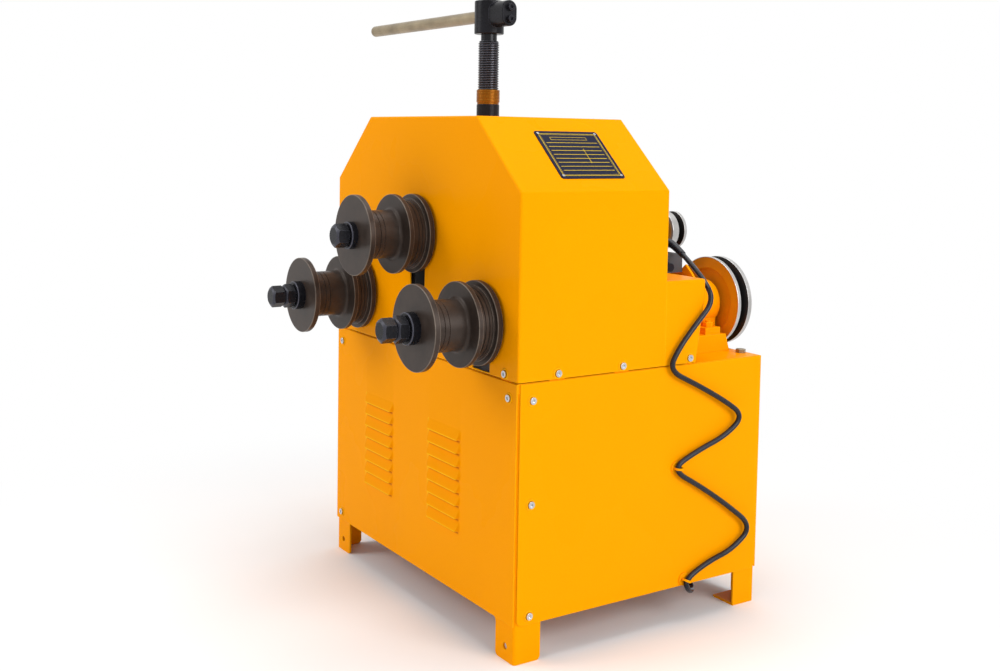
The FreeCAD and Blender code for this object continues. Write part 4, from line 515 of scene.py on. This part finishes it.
def rounded(corners, steps):
    """A closed profile of straight runs with arcs at its corners. Each corner is (along, radius, arc),
    and its arc starts and ends arc * tan(half the turn) from it, at most ARC_SHARE of either run. One
    more place just outside each end keeps flats flat. It gives the places, how far along the profile each
    is, and 1 on the arcs of outer corners under the largest such arc given: the mask for lighter edges,
    partly rubbed wear and partly painted highlight."""
    outline = np.array([corner[:2] for corner in corners], float)
    following = np.roll(outline, -1, axis=0)
    way_round = np.sign(np.sum(outline[:, 0] * following[:, 1] - outline[:, 1] * following[:, 0]))
    places, edges = [], []
    for i, (_, _, arc) in enumerate(corners):
        here = outline[i]
        before = outline[i - 1] - here
        after = following[i] - here
        long_before, long_after = np.linalg.norm(before), np.linalg.norm(after)
        before, after = before / long_before, after / long_after
        half = 0.5 * math.acos(np.clip(-before @ after, -1, 1))
        if arc <= 0 or half < STRAIGHT:
            places.append(here)
            edges.append(0.0)
            continue
        # lighter edge mask: partly rubbed wear, partly painted highlight
        worn_and_lit = (before[1] * after[0] - before[0] * after[1]) * way_round > 0 and arc < LARGEST_WORN_AND_LIT_ARC
        cut = min(arc * math.tan(half), ARC_SHARE * long_before, ARC_SHARE * long_after)
        bend = cut / math.tan(half)
        inward = before + after
        centre = here + inward / np.linalg.norm(inward) * bend / math.cos(half)
        first, last = here + before * cut, here + after * cut
        support = min(0.25 * cut, 0.04 * min(long_before, long_after))
        turn = 2 * half
        places.append(first + before * support)
        for t in np.linspace(0, 1, steps + 1):
            carried = math.sin((1 - t) * turn) * (first - centre) + math.sin(t * turn) * (last - centre)
            places.append(centre + carried / math.sin(turn))
        places.append(last + after * support)
        edges += [0.0] + [float(worn_and_lit)] * (steps + 1) + [0.0]
    places = np.array(places)
    step = np.linalg.norm(np.diff(places, axis=0), axis=1)
    return places, np.concatenate([[0], np.cumsum(step)]), np.array(edges)


AXES = {"x": np.array((1.0, 0, 0)), "y": np.array((0, 1.0, 0)), "z": np.array((0, 0, 1.0))}
ACROSS = {"x": ("y", "z"), "y": ("x", "z"), "z": ("x", "y")}


def ring_of(axis, sides, start=0.0):
    """Angles round an axis and their directions: cos(a) of one cross axis plus sin(a) of the other."""
    angle = np.linspace(0, 2 * np.pi, sides, endpoint=False) + start
    first, second = [AXES[name] for name in ACROSS[axis]]
    return angle, np.cos(angle)[:, None] * first + np.sin(angle)[:, None] * second


def turned(name, centre, axis, corners, finish, body, sides=128, steps=4, replaces=(), groove=None,
           painted=None):
    """A turned piece: the profile carried once round the axis. A place on it is
    centre + along * axis + radius * direction(angle). groove gives the span along the axis and the radii
    inside which the mask called groove is 1, and painted is the radius up to which the mask called
    painted is 1 outside that span."""
    profile, distance, edge = rounded(corners, steps)
    along, radius = profile[:, 0], profile[:, 1]
    _, around = ring_of(axis, sides)
    grid = np.array(centre) + along[:, None, None] * AXES[axis] + radius[:, None, None] * around[None]
    values = {"turned": distance[:, None] / 1000, "edge": edge[:, None]}
    if groove:
        first, last, floor_radius, rim_radius = groove
        inside = (along > first) & (along < last) & (radius > floor_radius) & (radius < rim_radius)
        values["groove"] = inside[:, None].astype(float)
        values["painted"] = (~inside & (radius < painted))[:, None].astype(float)
    piece = skin(name, in_row(grid), True, finish, body, values=values)
    if replaces:
        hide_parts(*replaces)
    return piece


def scored(along, radius, half_width, depth):
    """The three corners of a V line turned into a surface of that radius."""
    return [(along - half_width, radius, 0), (along, radius - depth, 0), (along + half_width, radius, 0)]


CHAMFER_LEAN = 0.577
POINTED_UP = math.radians(30)
NUT_SIDES = 96
FLAT_SUPPORT = 0.4           # from a chamfer to the row that keeps the flats flat
FACE_SUPPORT = 0.97          # share of an end's circle that keeps its face flat
BORE_CHAMFER = 0.8
WORN_AND_LIT = 0.6                   # how much lighter edges are made in the mask called edge: nut chamfers partly by rubbed wear and partly by painted highlight, thread crests by painted glint


def nut(name, centre, start, end, flats, body, replaces, face=0.86, bore=0.0):
    """A hexagon nut from start forwards to end, with a corner pointing up. At an angle a its radius is
    half the flats over cos(a mod 60 degrees - 30 degrees). Each end face is a circle, face times that
    half, and the chamfer drops from the outline to the circle by CHAMFER_LEAN times the radius between
    them. Without a bore its ends are whole."""
    angle, around = ring_of("y", NUT_SIDES, POINTED_UP)
    outline = flats / 2 / np.cos(((angle - POINTED_UP) % (np.pi / 3)) - np.pi / 6)
    flat = np.ones(NUT_SIDES)
    circle = flat * flats / 2 * face
    drop = (outline - circle) * CHAMFER_LEAN
    # the chamfer rows carry the lighter edge mask: partly rubbed wear, partly painted highlight
    rows = [
        (flat * start, flat * bore, 0), (flat * start, circle * FACE_SUPPORT, 0),
        (flat * start, circle, WORN_AND_LIT), (start - drop, outline, WORN_AND_LIT),
        (start - drop - FLAT_SUPPORT, outline, 0), (end + drop + FLAT_SUPPORT, outline, 0),
        (end + drop, outline, WORN_AND_LIT), (flat * end, circle, WORN_AND_LIT),
        (flat * end, circle * FACE_SUPPORT, 0),
    ]
    if bore:
        rows.append((flat * end, flat * (bore + BORE_CHAMFER), 0))
        rows.append((flat * (end + BORE_CHAMFER), flat * bore, 0))
    else:
        rows.append((flat * end, flat * 0, 0))
    along, radius, edge = [np.array([row[part] for row in rows]) for part in range(3)]
    grid = np.array(centre) + along[..., None] * AXES["y"] + radius[..., None] * around[None]
    values = {"turned": along / 1000, "edge": edge[:, None]}
    piece = skin(name, in_row(grid), bool(bore), "black_oxide", body, values=values, sharp=24.0)
    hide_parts(replaces)


# ---------------------------------------------------------------- rollers

SHAFT_X = 175.0
LOWER_Z = 431.0
UPPER_Z = 535.0
SEAT_BORE = 15.1
STUB_BORE = 10.1
DIE_R = 56
GROOVE_R = 34
SECOND_GROOVE_R = 45.5
NECK_R = 32
NECK_RING_R = 38.5
MIDDLE_FLANGE_T = 7
SCORE = (0.6, 0.8)           # half the width, and the depth, of the lines in the groove
# along a roller's axis, from the cabinet's front face
DIES_FRONT = -103.5
DISC_BACK = -95.5
NECK_BACK = -92.5
DIES_SPLIT = -87.5
SCORES = (-76.2, -69.2)
REAR_FLANGE_FRONT = -12
DIES_BACK = -4
COLLAR_ARC = 1.2
LOCK_NUT_L = 16
LOCK_NUT_FLATS = 31
END_NUT_L = 20


def roller(which, x, z, middle_back, collar_radius, collar_length):
    """The dies and the plain collar of one roller, with the middle flange's back at middle_back. It gives
    the roller's centre, its body and where its collar ends. Corners are (along, radius, arc)."""
    centre = (x, 0, z)
    body = which + "_roller"
    middle_front = middle_back - MIDDLE_FLANGE_T
    turned(which + "_outer_disc", centre, "y", [
        (DIES_FRONT, SEAT_BORE, 0.4), (DIES_FRONT, DIE_R, 0.8), (DISC_BACK, DIE_R, 0.8),
        (DISC_BACK, NECK_R, 0.8), (NECK_BACK, NECK_R, 0.8), (NECK_BACK, NECK_RING_R, 0.8),
        (DIES_SPLIT, NECK_RING_R, 0.6), (DIES_SPLIT, SEAT_BORE, 0.4),
    ], "blackened_steel", body, replaces=[which + "_outer_die"])
    turned(which + "_grooved_roll", centre, "y", [
        (DIES_SPLIT + 0.05, SEAT_BORE, 0.4), (DIES_SPLIT + 0.05, 33, 0.8), (-86, GROOVE_R, 0.8),
        *[corner for along in SCORES for corner in scored(along, GROOVE_R, *SCORE)],
        (middle_front, GROOVE_R, 4.5), (middle_front, DIE_R, 0.8), (middle_back, DIE_R, 0.8),
        (middle_back, 46.5, 1.2), (middle_back + 1.2, SECOND_GROOVE_R, 0), (-24, SECOND_GROOVE_R, 0),
        (-23.4, 46.7, 0), (-19, 46.7, 0), (-18.4, 48.2, 0), (-15, 48.2, 0), (-14.4, 49.8, 0.4),
        (REAR_FLANGE_FRONT, 49.8, 0.4), (REAR_FLANGE_FRONT, DIE_R, 0.8), (DIES_BACK, DIE_R, 0.8),
        (DIES_BACK, SEAT_BORE, 0.4),
    ], "blackened_steel", body, replaces=[which + "_main_die"])
    collar_end = DIES_FRONT - collar_length
    turned(which + "_plain_collar", centre, "y", [
        (DIES_FRONT, STUB_BORE, 0.2), (DIES_FRONT, collar_radius, 0.3),
        (collar_end, collar_radius, COLLAR_ARC), (collar_end, STUB_BORE, 0.2),
    ], "black_oxide", body, replaces=[which + "_collar"])
    return centre, body, collar_end


for which, x in (("lower_left", -SHAFT_X), ("lower_right", SHAFT_X)):
    centre, body, start = roller(
        which, x, LOWER_Z, middle_back=-33.0, collar_radius=21.0, collar_length=12.0)
    split = start - LOCK_NUT_L
    nut(which + "_lock_nut", centre, start, split, LOCK_NUT_FLATS, body, which + "_nuts", bore=STUB_BORE)
    nut(which + "_end_nut", centre, split, split - END_NUT_L, 28, body, which + "_nuts", face=0.78)
centre, body, start = roller(
    "upper", 0.0, UPPER_Z, middle_back=-36.5, collar_radius=19.0, collar_length=9.0)
nut("upper_end_nut", centre, start, start - END_NUT_L, 29, body, "upper_nut", face=0.80)


# ---------------------------------------------------------------- feed screw and its ring

SCREW_Y = 115.0
SCREW_SIDES = 72
THREAD_PITCH = 3.5
THREAD_ROOT = 13.8
THREAD_DEPTH = 1.5
THREAD_LOW = 600.0
THREAD_HIGH = 813.0
ROWS_PER_TURN = 10
BUTTON_LOW = 562
BUTTON_HIGH = 571
BUTTON_R = 17
BUTTON_CHAMFER = 0.6
LOWER_NECK_R = 12
UPPER_NECK_R = 11.8
HUB_TOP = 871
TIP_TOP = 879
TIP_R = 10
TIP_CHAMFER = 1.5
ABRUPT = 0.01                # between two rows where the radius jumps
RING_BORE = 15.4
RING_FOOT_R = 16.0
RING_R = 17
RING_LOW = 720.9
RING_STEP = 723.9
RING_HIGH = 742


def threaded_screw():
    """The feed screw with its real helix. At height z and angle a the phase is z / pitch - a / 360
    degrees, less its whole part. The wave is 5 times the phase's distance from a whole number, less 0.5,
    held between 0 and 1, and the radius is the root plus the depth times the wave, faded out over one
    pitch at both ends. The button and neck under the thread and the neck and tip over it are plain rows
    of one radius."""
    angle, around = ring_of("z", SCREW_SIDES)
    foot = [
        (BUTTON_LOW, 0), (BUTTON_LOW, BUTTON_R - BUTTON_CHAMFER), (BUTTON_LOW + BUTTON_CHAMFER, BUTTON_R),
        (BUTTON_HIGH - BUTTON_CHAMFER, BUTTON_R), (BUTTON_HIGH, BUTTON_R - BUTTON_CHAMFER),
        (BUTTON_HIGH, LOWER_NECK_R), (THREAD_LOW - ABRUPT, LOWER_NECK_R),
    ]
    tip = [
        (THREAD_HIGH + ABRUPT, UPPER_NECK_R), (HUB_TOP, UPPER_NECK_R), (HUB_TOP + ABRUPT, TIP_R),
        (TIP_TOP - TIP_CHAMFER, TIP_R), (TIP_TOP, TIP_R - TIP_CHAMFER), (TIP_TOP, 0),
    ]
    turns = (THREAD_HIGH - THREAD_LOW) / THREAD_PITCH
    height = np.linspace(THREAD_LOW, THREAD_HIGH, int(turns * ROWS_PER_TURN) + 1)
    phase = (height[:, None] / THREAD_PITCH - angle[None] / (2 * np.pi)) % 1.0
    wave = np.clip((0.5 - np.abs(phase - 0.5)) * 5.0 - 0.5, 0.0, 1.0)
    fade = np.clip(np.minimum(height - THREAD_LOW, THREAD_HIGH - height) / THREAD_PITCH, 0.0, 1.0)
    thread = THREAD_ROOT + THREAD_DEPTH * wave * fade[:, None]
    flat = np.ones(SCREW_SIDES)
    along = np.concatenate([[row[0] for row in foot], height, [row[0] for row in tip]])
    radius = np.concatenate([[row[1] * flat for row in foot], thread, [row[1] * flat for row in tip]])
    # painted glint: the thread's crests are made lighter through the mask called edge
    crest = np.zeros(radius.shape)
    crest[len(foot):-len(tip)] = WORN_AND_LIT * (wave > 0.95)
    grid = np.array((0, SCREW_Y, 0.0)) + along[:, None, None] * AXES["z"] + radius[..., None] * around[None]
    piece = skin("threaded_feed_screw", in_row(grid), False, "oiled_screw", "feed_screw",
                 values={"edge": crest}, sharp=40.0)
    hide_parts("feed_screw")


threaded_screw()
turned("amber_lock_ring", (0, SCREW_Y, 0), "z", [
    (RING_LOW, RING_BORE, 0.2), (RING_LOW, RING_FOOT_R, 0.3), (RING_STEP, RING_FOOT_R, 0.2),
    (RING_STEP, RING_R, 0.8),
    *[corner for height in (728, 733, 738) for corner in scored(height, RING_R, 0.4, 0.4)],
    (RING_HIGH, RING_R, 0.8), (RING_HIGH, RING_BORE, 0.3),
], "bronze", "lock_ring", sides=96, replaces=["lock_ring"])


# ---------------------------------------------------------------- belt pulleys

HUB_R = 22
INPUT_SHAFT = (150, 0, LOWER_Z)
LARGE_R = 66.5
LARGE_BORE = 11.05
LARGE_RIM_INSIDE = 49.5
LARGE_GROOVE_FLOOR = 54.5
LARGE_FRONT = 420
LARGE_BACK = 448
MOTOR_SHAFT = (42, 0, 530)
SMALL_R = 29.7
SMALL_BORE = 9.55
SMALL_GROOVE_FLOOR = 17.7
SMALL_FRONT = 418
SMALL_BACK = 447

LARGE_PULLEY = [
    (LARGE_FRONT, LARGE_BORE, 0.2), (LARGE_FRONT, HUB_R, 1.0), (423, HUB_R, 0.6),
    (423, LARGE_RIM_INSIDE, 2.2), (LARGE_FRONT, LARGE_RIM_INSIDE, 0.8), (LARGE_FRONT, 65.2, 0),
    (LARGE_FRONT, LARGE_R, 0.6), (425.6, LARGE_R, 0.4), (426.1, 66.0, 0),
    (430.5, LARGE_GROOVE_FLOOR, 0.6), (437, LARGE_GROOVE_FLOOR, 0.6), (440.5, 66.0, 0),
    (441.0, LARGE_R, 0.4), (LARGE_BACK, LARGE_R, 0.8), (LARGE_BACK, LARGE_RIM_INSIDE, 0.8),
    (433, LARGE_RIM_INSIDE, 2.0), (433, HUB_R, 1.0), (LARGE_BACK, HUB_R, 1.0), (LARGE_BACK, LARGE_BORE, 0.2),
]
SMALL_PULLEY = [
    (421, SMALL_BORE, 0.2), (421, HUB_R, 1.2), (SMALL_FRONT, HUB_R, 0.6), (SMALL_FRONT, SMALL_R, 0.6),
    (430.0, SMALL_R, 0.3), (430.4, 29.3, 0), (433, SMALL_GROOVE_FLOOR, 0.5), (438, SMALL_GROOVE_FLOOR, 0.5),
    (441.4, 29.3, 0), (441.8, SMALL_R, 0.3), (SMALL_BACK, SMALL_R, 0.7), (SMALL_BACK, SMALL_BORE, 0.2),
]
turned("grooved_large_pulley", INPUT_SHAFT, "y", LARGE_PULLEY, "machined_aluminium", "input_shaft",
       sides=160, replaces=["large_pulley"], groove=(425.8, 440.8, 53.0, 66.1), painted=65.6)
turned("grooved_small_pulley", MOTOR_SHAFT, "y", SMALL_PULLEY, "machined_aluminium", "motor_rotor",
       replaces=["small_pulley"], groove=(430.2, 441.7, 16.0, 29.4), painted=28.6)


# ---------------------------------------------------------------- front panel with its pressed louvres

LOUVRE_MIDDLES = (-112.0, 80.5)
LOUVRE_HALF_W = 45
LOUVRE_PITCH = 18.0
LOUVRE_COUNT = 8
LOUVRE_TOPS = 276.5 - LOUVRE_PITCH * np.arange(LOUVRE_COUNT)
LOUVRE_H = 15.5
LOUVRE_OUT = 5.0
LOUVRE_END_RISE = 3.5
LOUVRE_CORNER_R = 7.0
SHEET_BACK = 2.0
SHEET_COLUMNS = 100
END_COLUMNS = np.arange(-10, 3, 0.7)    # past a louvre's end
LEFT_LINE_IN = 1.5           # from a louvre's left end to the painted highlight by it
LEFT_LINE_HALF_W = 2.2
# painted shade by each louvre's right end, which faces away from the light
RIGHT_SHADE_IN = 2.0
RIGHT_SHADE_HALF_W = 3.0
LIP_LINE = (0.15, 1.7)       # its lower and upper edge over the lip, where the painted highlight runs
# painted shade under each lip
LIP_SHADE_IN = 2.5
LIP_SHADE_RISE = 2.0
# millimetres down from a louvre's top
FACE_ROWS = (0, 0.4, 1.2, 2.4, 4, 6, 8, 10, 12, 13.2, 14.0, 14.5, 14.8, 15.1, 15.3, 15.45, 15.5)
FACE_FULL = 14.5             # where the face is out by LOUVRE_OUT
ROLLED_BACK = {14.5: 0.03, 14.8: 0.12, 15.1: 0.35, 15.3: 0.75, 15.45: 1.3, 15.5: 2.2}
SUNK_BELOW = {15.52: 1.3, 16.2: 1.3, 16.9: 0.7, 17.3: 0.0}
# painted shade along a louvre's top, under the lip of the louvre above
TOP_SHADE = {0: 0.8, 0.4: 0.5, 1.2: 0.1}
LAST_FLAT = 19.2             # keeps the painted shade from spreading down the sheet
FAR = 99.0


def louvre_rows(bottom, top):
    """The panel's rows from its bottom to its top: height, how far the face is out, how far it is sunk,
    how far the row lies over its louvre's lip, and how deep the painted shade on it is. The face is out by
    LOUVRE_OUT times the share of FACE_FULL to the 1.15, less what its lip rolls back."""
    rows = [(z, 0, 0, FAR, 0) for z in (bottom, bottom + 0.01, LOUVRE_TOPS[-1] - LAST_FLAT)]
    for edge in LOUVRE_TOPS[::-1]:
        under_another = float(edge < LOUVRE_TOPS[0])
        # the sunk rows under a lip take the full painted shade
        rows += [(edge - down, 0, sunk, 0, 1) for down, sunk in reversed(SUNK_BELOW.items())]
        for down in reversed(FACE_ROWS):
            out = LOUVRE_OUT * min(down / FACE_FULL, 1) ** 1.15 - ROLLED_BACK.get(down, 0)
            rows.append((edge - down, out, 0, LOUVRE_H - down, TOP_SHADE.get(down, 0) * under_another))
    return rows + [(z, 0, 0, FAR, 0) for z in (top - 0.01, top)]


def pressed_panel():
    """The front panel as one sheet. Its face moves by w times what louvre_rows gives. w rises from 0 to 1
    over LOUVRE_END_RISE from each end of a louvre as the smooth step w * w * (3 - 2 * w), and near the
    lip the ends are drawn in by an arc, r - sqrt(r * r - n * n) with n the distance under the arc's top.
    The mask called edge, a painted highlight, is 1 on the lip and near the left end, and a second mask
    paints shade, darkening what lies under a lip and by the right end."""
    low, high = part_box("front_panel")
    left, right = low[0] * 1000 - MIDDLE_X, high[0] * 1000 - MIDDLE_X
    bottom, top = low[2] * 1000, high[2] * 1000
    near_ends = LOUVRE_HALF_W + END_COLUMNS
    ends = np.concatenate([middle + side * near_ends for middle in LOUVRE_MIDDLES for side in (-1, 1)])
    x = np.unique(np.round(np.concatenate([np.linspace(left, right, SHEET_COLUMNS), ends]), 3))
    z, out, sunk, over_lip, shade_depth = np.array(louvre_rows(bottom, top)).T[..., None]
    under_arc = np.clip(LOUVRE_CORNER_R - over_lip, 0, LOUVRE_CORNER_R)
    drawn_in = LOUVRE_CORNER_R - np.sqrt(LOUVRE_CORNER_R ** 2 - under_arc ** 2)
    from_middle = np.array([x - middle for middle in LOUVRE_MIDDLES])
    reach = np.max(LOUVRE_HALF_W - np.abs(from_middle), axis=0)
    w = np.clip((reach - drawn_in) / LOUVRE_END_RISE, 0, 1)
    w = w * w * (3 - 2 * w)
    to_left_line = np.min(np.abs(from_middle + LOUVRE_HALF_W - LEFT_LINE_IN), axis=0)
    to_right_shade = np.min(np.abs(from_middle - LOUVRE_HALF_W + RIGHT_SHADE_IN), axis=0)
    # painted highlight near each left end, and painted shade near each right end
    near_left = np.clip(1 - to_left_line / LEFT_LINE_HALF_W, 0, 1) * (out > 0)
    near_right = np.clip(1 - to_right_shade / RIGHT_SHADE_HALF_W, 0, 1) * (out > 0)
    # painted highlight along the lip, and painted shade under it
    lip_line = ((over_lip > LIP_LINE[0]) & (over_lip < LIP_LINE[1])) * w
    under_lip = np.clip((reach - LIP_SHADE_IN) / LIP_SHADE_RISE, 0, 1) * shade_depth
    face = sunk * w - out * w
    front = np.stack([np.broadcast_to(x, face.shape), face, np.broadcast_to(z, face.shape)], -1)
    back = front[:, ::-1].copy()
    back[..., 1] = SHEET_BACK
    grid = np.concatenate([front, back], axis=1)
    heart = np.array(((left + right) / 2, SHEET_BACK / 2, 0.0))
    poles = [np.broadcast_to(heart + (0, 0, end), (1, *grid[0].shape)) for end in (bottom, top)]
    grid = in_row(np.concatenate([poles[0], grid, poles[1]]))
    edge, crease = np.zeros(grid.shape[:2]), np.zeros(grid.shape[:2])
    # the first mask is a painted highlight, the second painted shade
    edge[1:-1, :len(x)] = np.maximum(lip_line, near_left)
    crease[1:-1, :len(x)] = np.maximum(0.9 * under_lip, 0.12 * near_right)
    masks = {"edge": edge, "crease": crease}
    piece = skin("pressed_front_panel", grid, False, "orange_paint", "frame", values=masks, sharp=50.0)
    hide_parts("front_panel")


pressed_panel()


# ---------------------------------------------------------------- dished screw seats and strain reliefs

HALF_WIDTH = 260             # of the cabinet
FRONT_SEATS = ((-240, 343.2), (240, 343.2), (-240, 64), (-234, 372.5), (230, 372.5))
SIDE_SEATS = ((23, 341.2), (23, 207.1), (23, 62), (62, 372.5), (168, 372.5))
COVER_SEAT = (287, 372.5)
SEAT_PROFILE = ((0.02, 4.75, 0.1), (0.5, 4.9, 0.2), (0.95, 6.3, 0.5), (0.6, 7.2, 0.5), (0.02, 7.7, 0.1))

seats = [((x, 0, z), "y", 0, -1.0) for x, z in FRONT_SEATS]
seats += [((0, y, z), "x", side * HALF_WIDTH, side) for side in (-1.0, 1.0) for y, z in SIDE_SEATS]
seats.append(((0, *COVER_SEAT), "x", HALF_WIDTH, 1.0))
for count, (centre, axis, face, out) in enumerate(seats):
    corners = [(face + out * rise, radius, arc) for rise, radius, arc in SEAT_PROFILE]
    turned("dished_seat_%02d" % count, centre, axis, corners, "orange_paint", "frame", sides=48, steps=3)


SLEEVE_ROWS = 61
SLEEVE_SIDES = 48
RIPPLE = 0.00035
LINING = 0.97                # share of the lead's radius that a sleeve's inside keeps to
SIDEWAYS = (0.2, 0.95, 0.25)     # a direction that the lead doesn't take inside a sleeve


def sleeve(name, start, length, wide, narrow, rings, reverse=False):
    """A tapered rubber sleeve on the lead, in metres. Its places are the lead's own line between two
    distances along it. The radius goes from wide to narrow with a cosine ripple of that many rings, and
    closes on the lead at both ends."""
    places, distance = line_of(lead)
    t = np.linspace(0, 1, SLEEVE_ROWS)
    s = distance[-1] - start - length * t if reverse else start + length * t
    line = np.stack([np.interp(s, distance, places[:, k]) for k in range(3)], -1)
    ahead = np.gradient(line, axis=0)
    ahead /= np.linalg.norm(ahead, axis=1)[:, None]
    across = np.cross(ahead, SIDEWAYS)
    across /= np.linalg.norm(across, axis=1)[:, None]
    third = np.cross(ahead, across)
    angle = np.linspace(0, 2 * np.pi, SLEEVE_SIDES, endpoint=False)
    inner = LEAD_RADIUS * LINING
    radius = wide + (narrow - wide) * t + RIPPLE * np.cos(2 * np.pi * rings * t)
    radius[[0, -1]] = inner
    cosine, sine = np.cos(angle)[None, :, None], np.sin(angle)[None, :, None]
    direction = across[:, None] * cosine + third[:, None] * sine
    outside = line[:, None] + radius[:, None, None] * direction
    lining = line[::-1][1:-1, None] + inner * direction[::-1][1:-1]
    return skin(name, np.concatenate([outside, lining]), True, "black_rubber", "frame", sharp=50.0)


sleeves = [
    sleeve("riser_strain_relief", start=0.0005, length=0.056, wide=0.0060, narrow=0.0048, rings=9),
    sleeve("box_strain_relief", start=0.0005, length=0.024, wide=0.0058, narrow=0.0046, rings=5,
           reverse=True),
]


# ---------------------------------------------------------------- studio

FLOOR_HALF = 20
SHADOW_REACH = 0.38
WHITE_FROM = 1.0
SKY_LIGHT = 0.52


def floor_finish():
    """Pale floor that keeps the shadow near the machine and fades to plain white further out, by distance
    from the machine between SHADOW_REACH and WHITE_FROM."""
    f = Finish("pale_floor", Roughness=0.9, Specular_IOR_Level=0.1, Base_Color=(0.93, 0.93, 0.93, 1))
    reach = f.node("ShaderNodeVectorMath", {"operation": "LENGTH"}, {0: f.stretched(1, 1, 0)}, "Value")
    ends = {"From Min": SHADOW_REACH, "From Max": WHITE_FROM, "To Min": 0.0, "To Max": 1.0}
    fade = f.node("ShaderNodeMapRange", {"interpolation_type": "SMOOTHSTEP"}, {"Value": reach, **ends})
    white = f.node("ShaderNodeEmission", None, {"Color": (1, 1, 1, 1), "Strength": 1.0}, "Emission")
    paint = Value(f, f.shader.outputs[0])
    mix = f.node("ShaderNodeMixShader", None, {0: f.seen_rays() * fade, 1: paint, 2: white})
    f.tree.links.new(mix.socket, f.tree.nodes["Material Output"].inputs[0])
    return f.material


floor_mesh = bpy.data.meshes.new("floor")
floor_corners = [(x * FLOOR_HALF, y * FLOOR_HALF, 0) for x, y in ((-1, -1), (1, -1), (1, 1), (-1, 1))]
floor_mesh.from_pydata(floor_corners, [], [(0, 1, 2, 3)])
floor_mesh.materials.append(floor_finish())
floor = bpy.data.objects.new("floor", floor_mesh)
bpy.context.scene.collection.objects.link(floor)


def studio_world():
    """A white world that is fully bright where it is seen, and SKY_LIGHT bright as light."""
    world = bpy.data.worlds.new("studio")
    world.use_nodes = True
    sky = Nodes(world.node_tree)
    ends = {"To Min": SKY_LIGHT, "To Max": 1.0}
    strength = sky.node("ShaderNodeMapRange", None, {"Value": sky.seen_rays(), **ends})
    background = sky.tree.nodes["Background"]
    background.inputs["Color"].default_value = (1, 1, 1, 1)
    sky.tree.links.new(strength.socket, background.inputs["Strength"])
    return world


bpy.context.scene.world = studio_world()


def softbox(name, place, aim, size, power):
    """A soft square lamp at place, facing aim."""
    data = bpy.data.lights.new(name, "AREA")
    data.shape = "RECTANGLE"
    data.size = size
    data.size_y = size
    data.energy = power
    lamp = bpy.data.objects.new(name, data)
    facing = (Vector(aim) - Vector(place)).to_track_quat("-Z", "Y")
    lamp.matrix_world = Matrix.Translation(place) @ facing.to_matrix().to_4x4()
    bpy.context.scene.collection.objects.link(lamp)


softbox("side_softbox", (2.9, 0.5, 1.5), (0.1, 0, 0.45), 1.8, 50)
softbox("front_softbox", (-1.3, -2.7, 1.9), (0, 0, 0.4), 1.5, 34)
softbox("top_softbox", (0.0, 0.2, 3.0), (0, 0, 0.4), 1.8, 36)
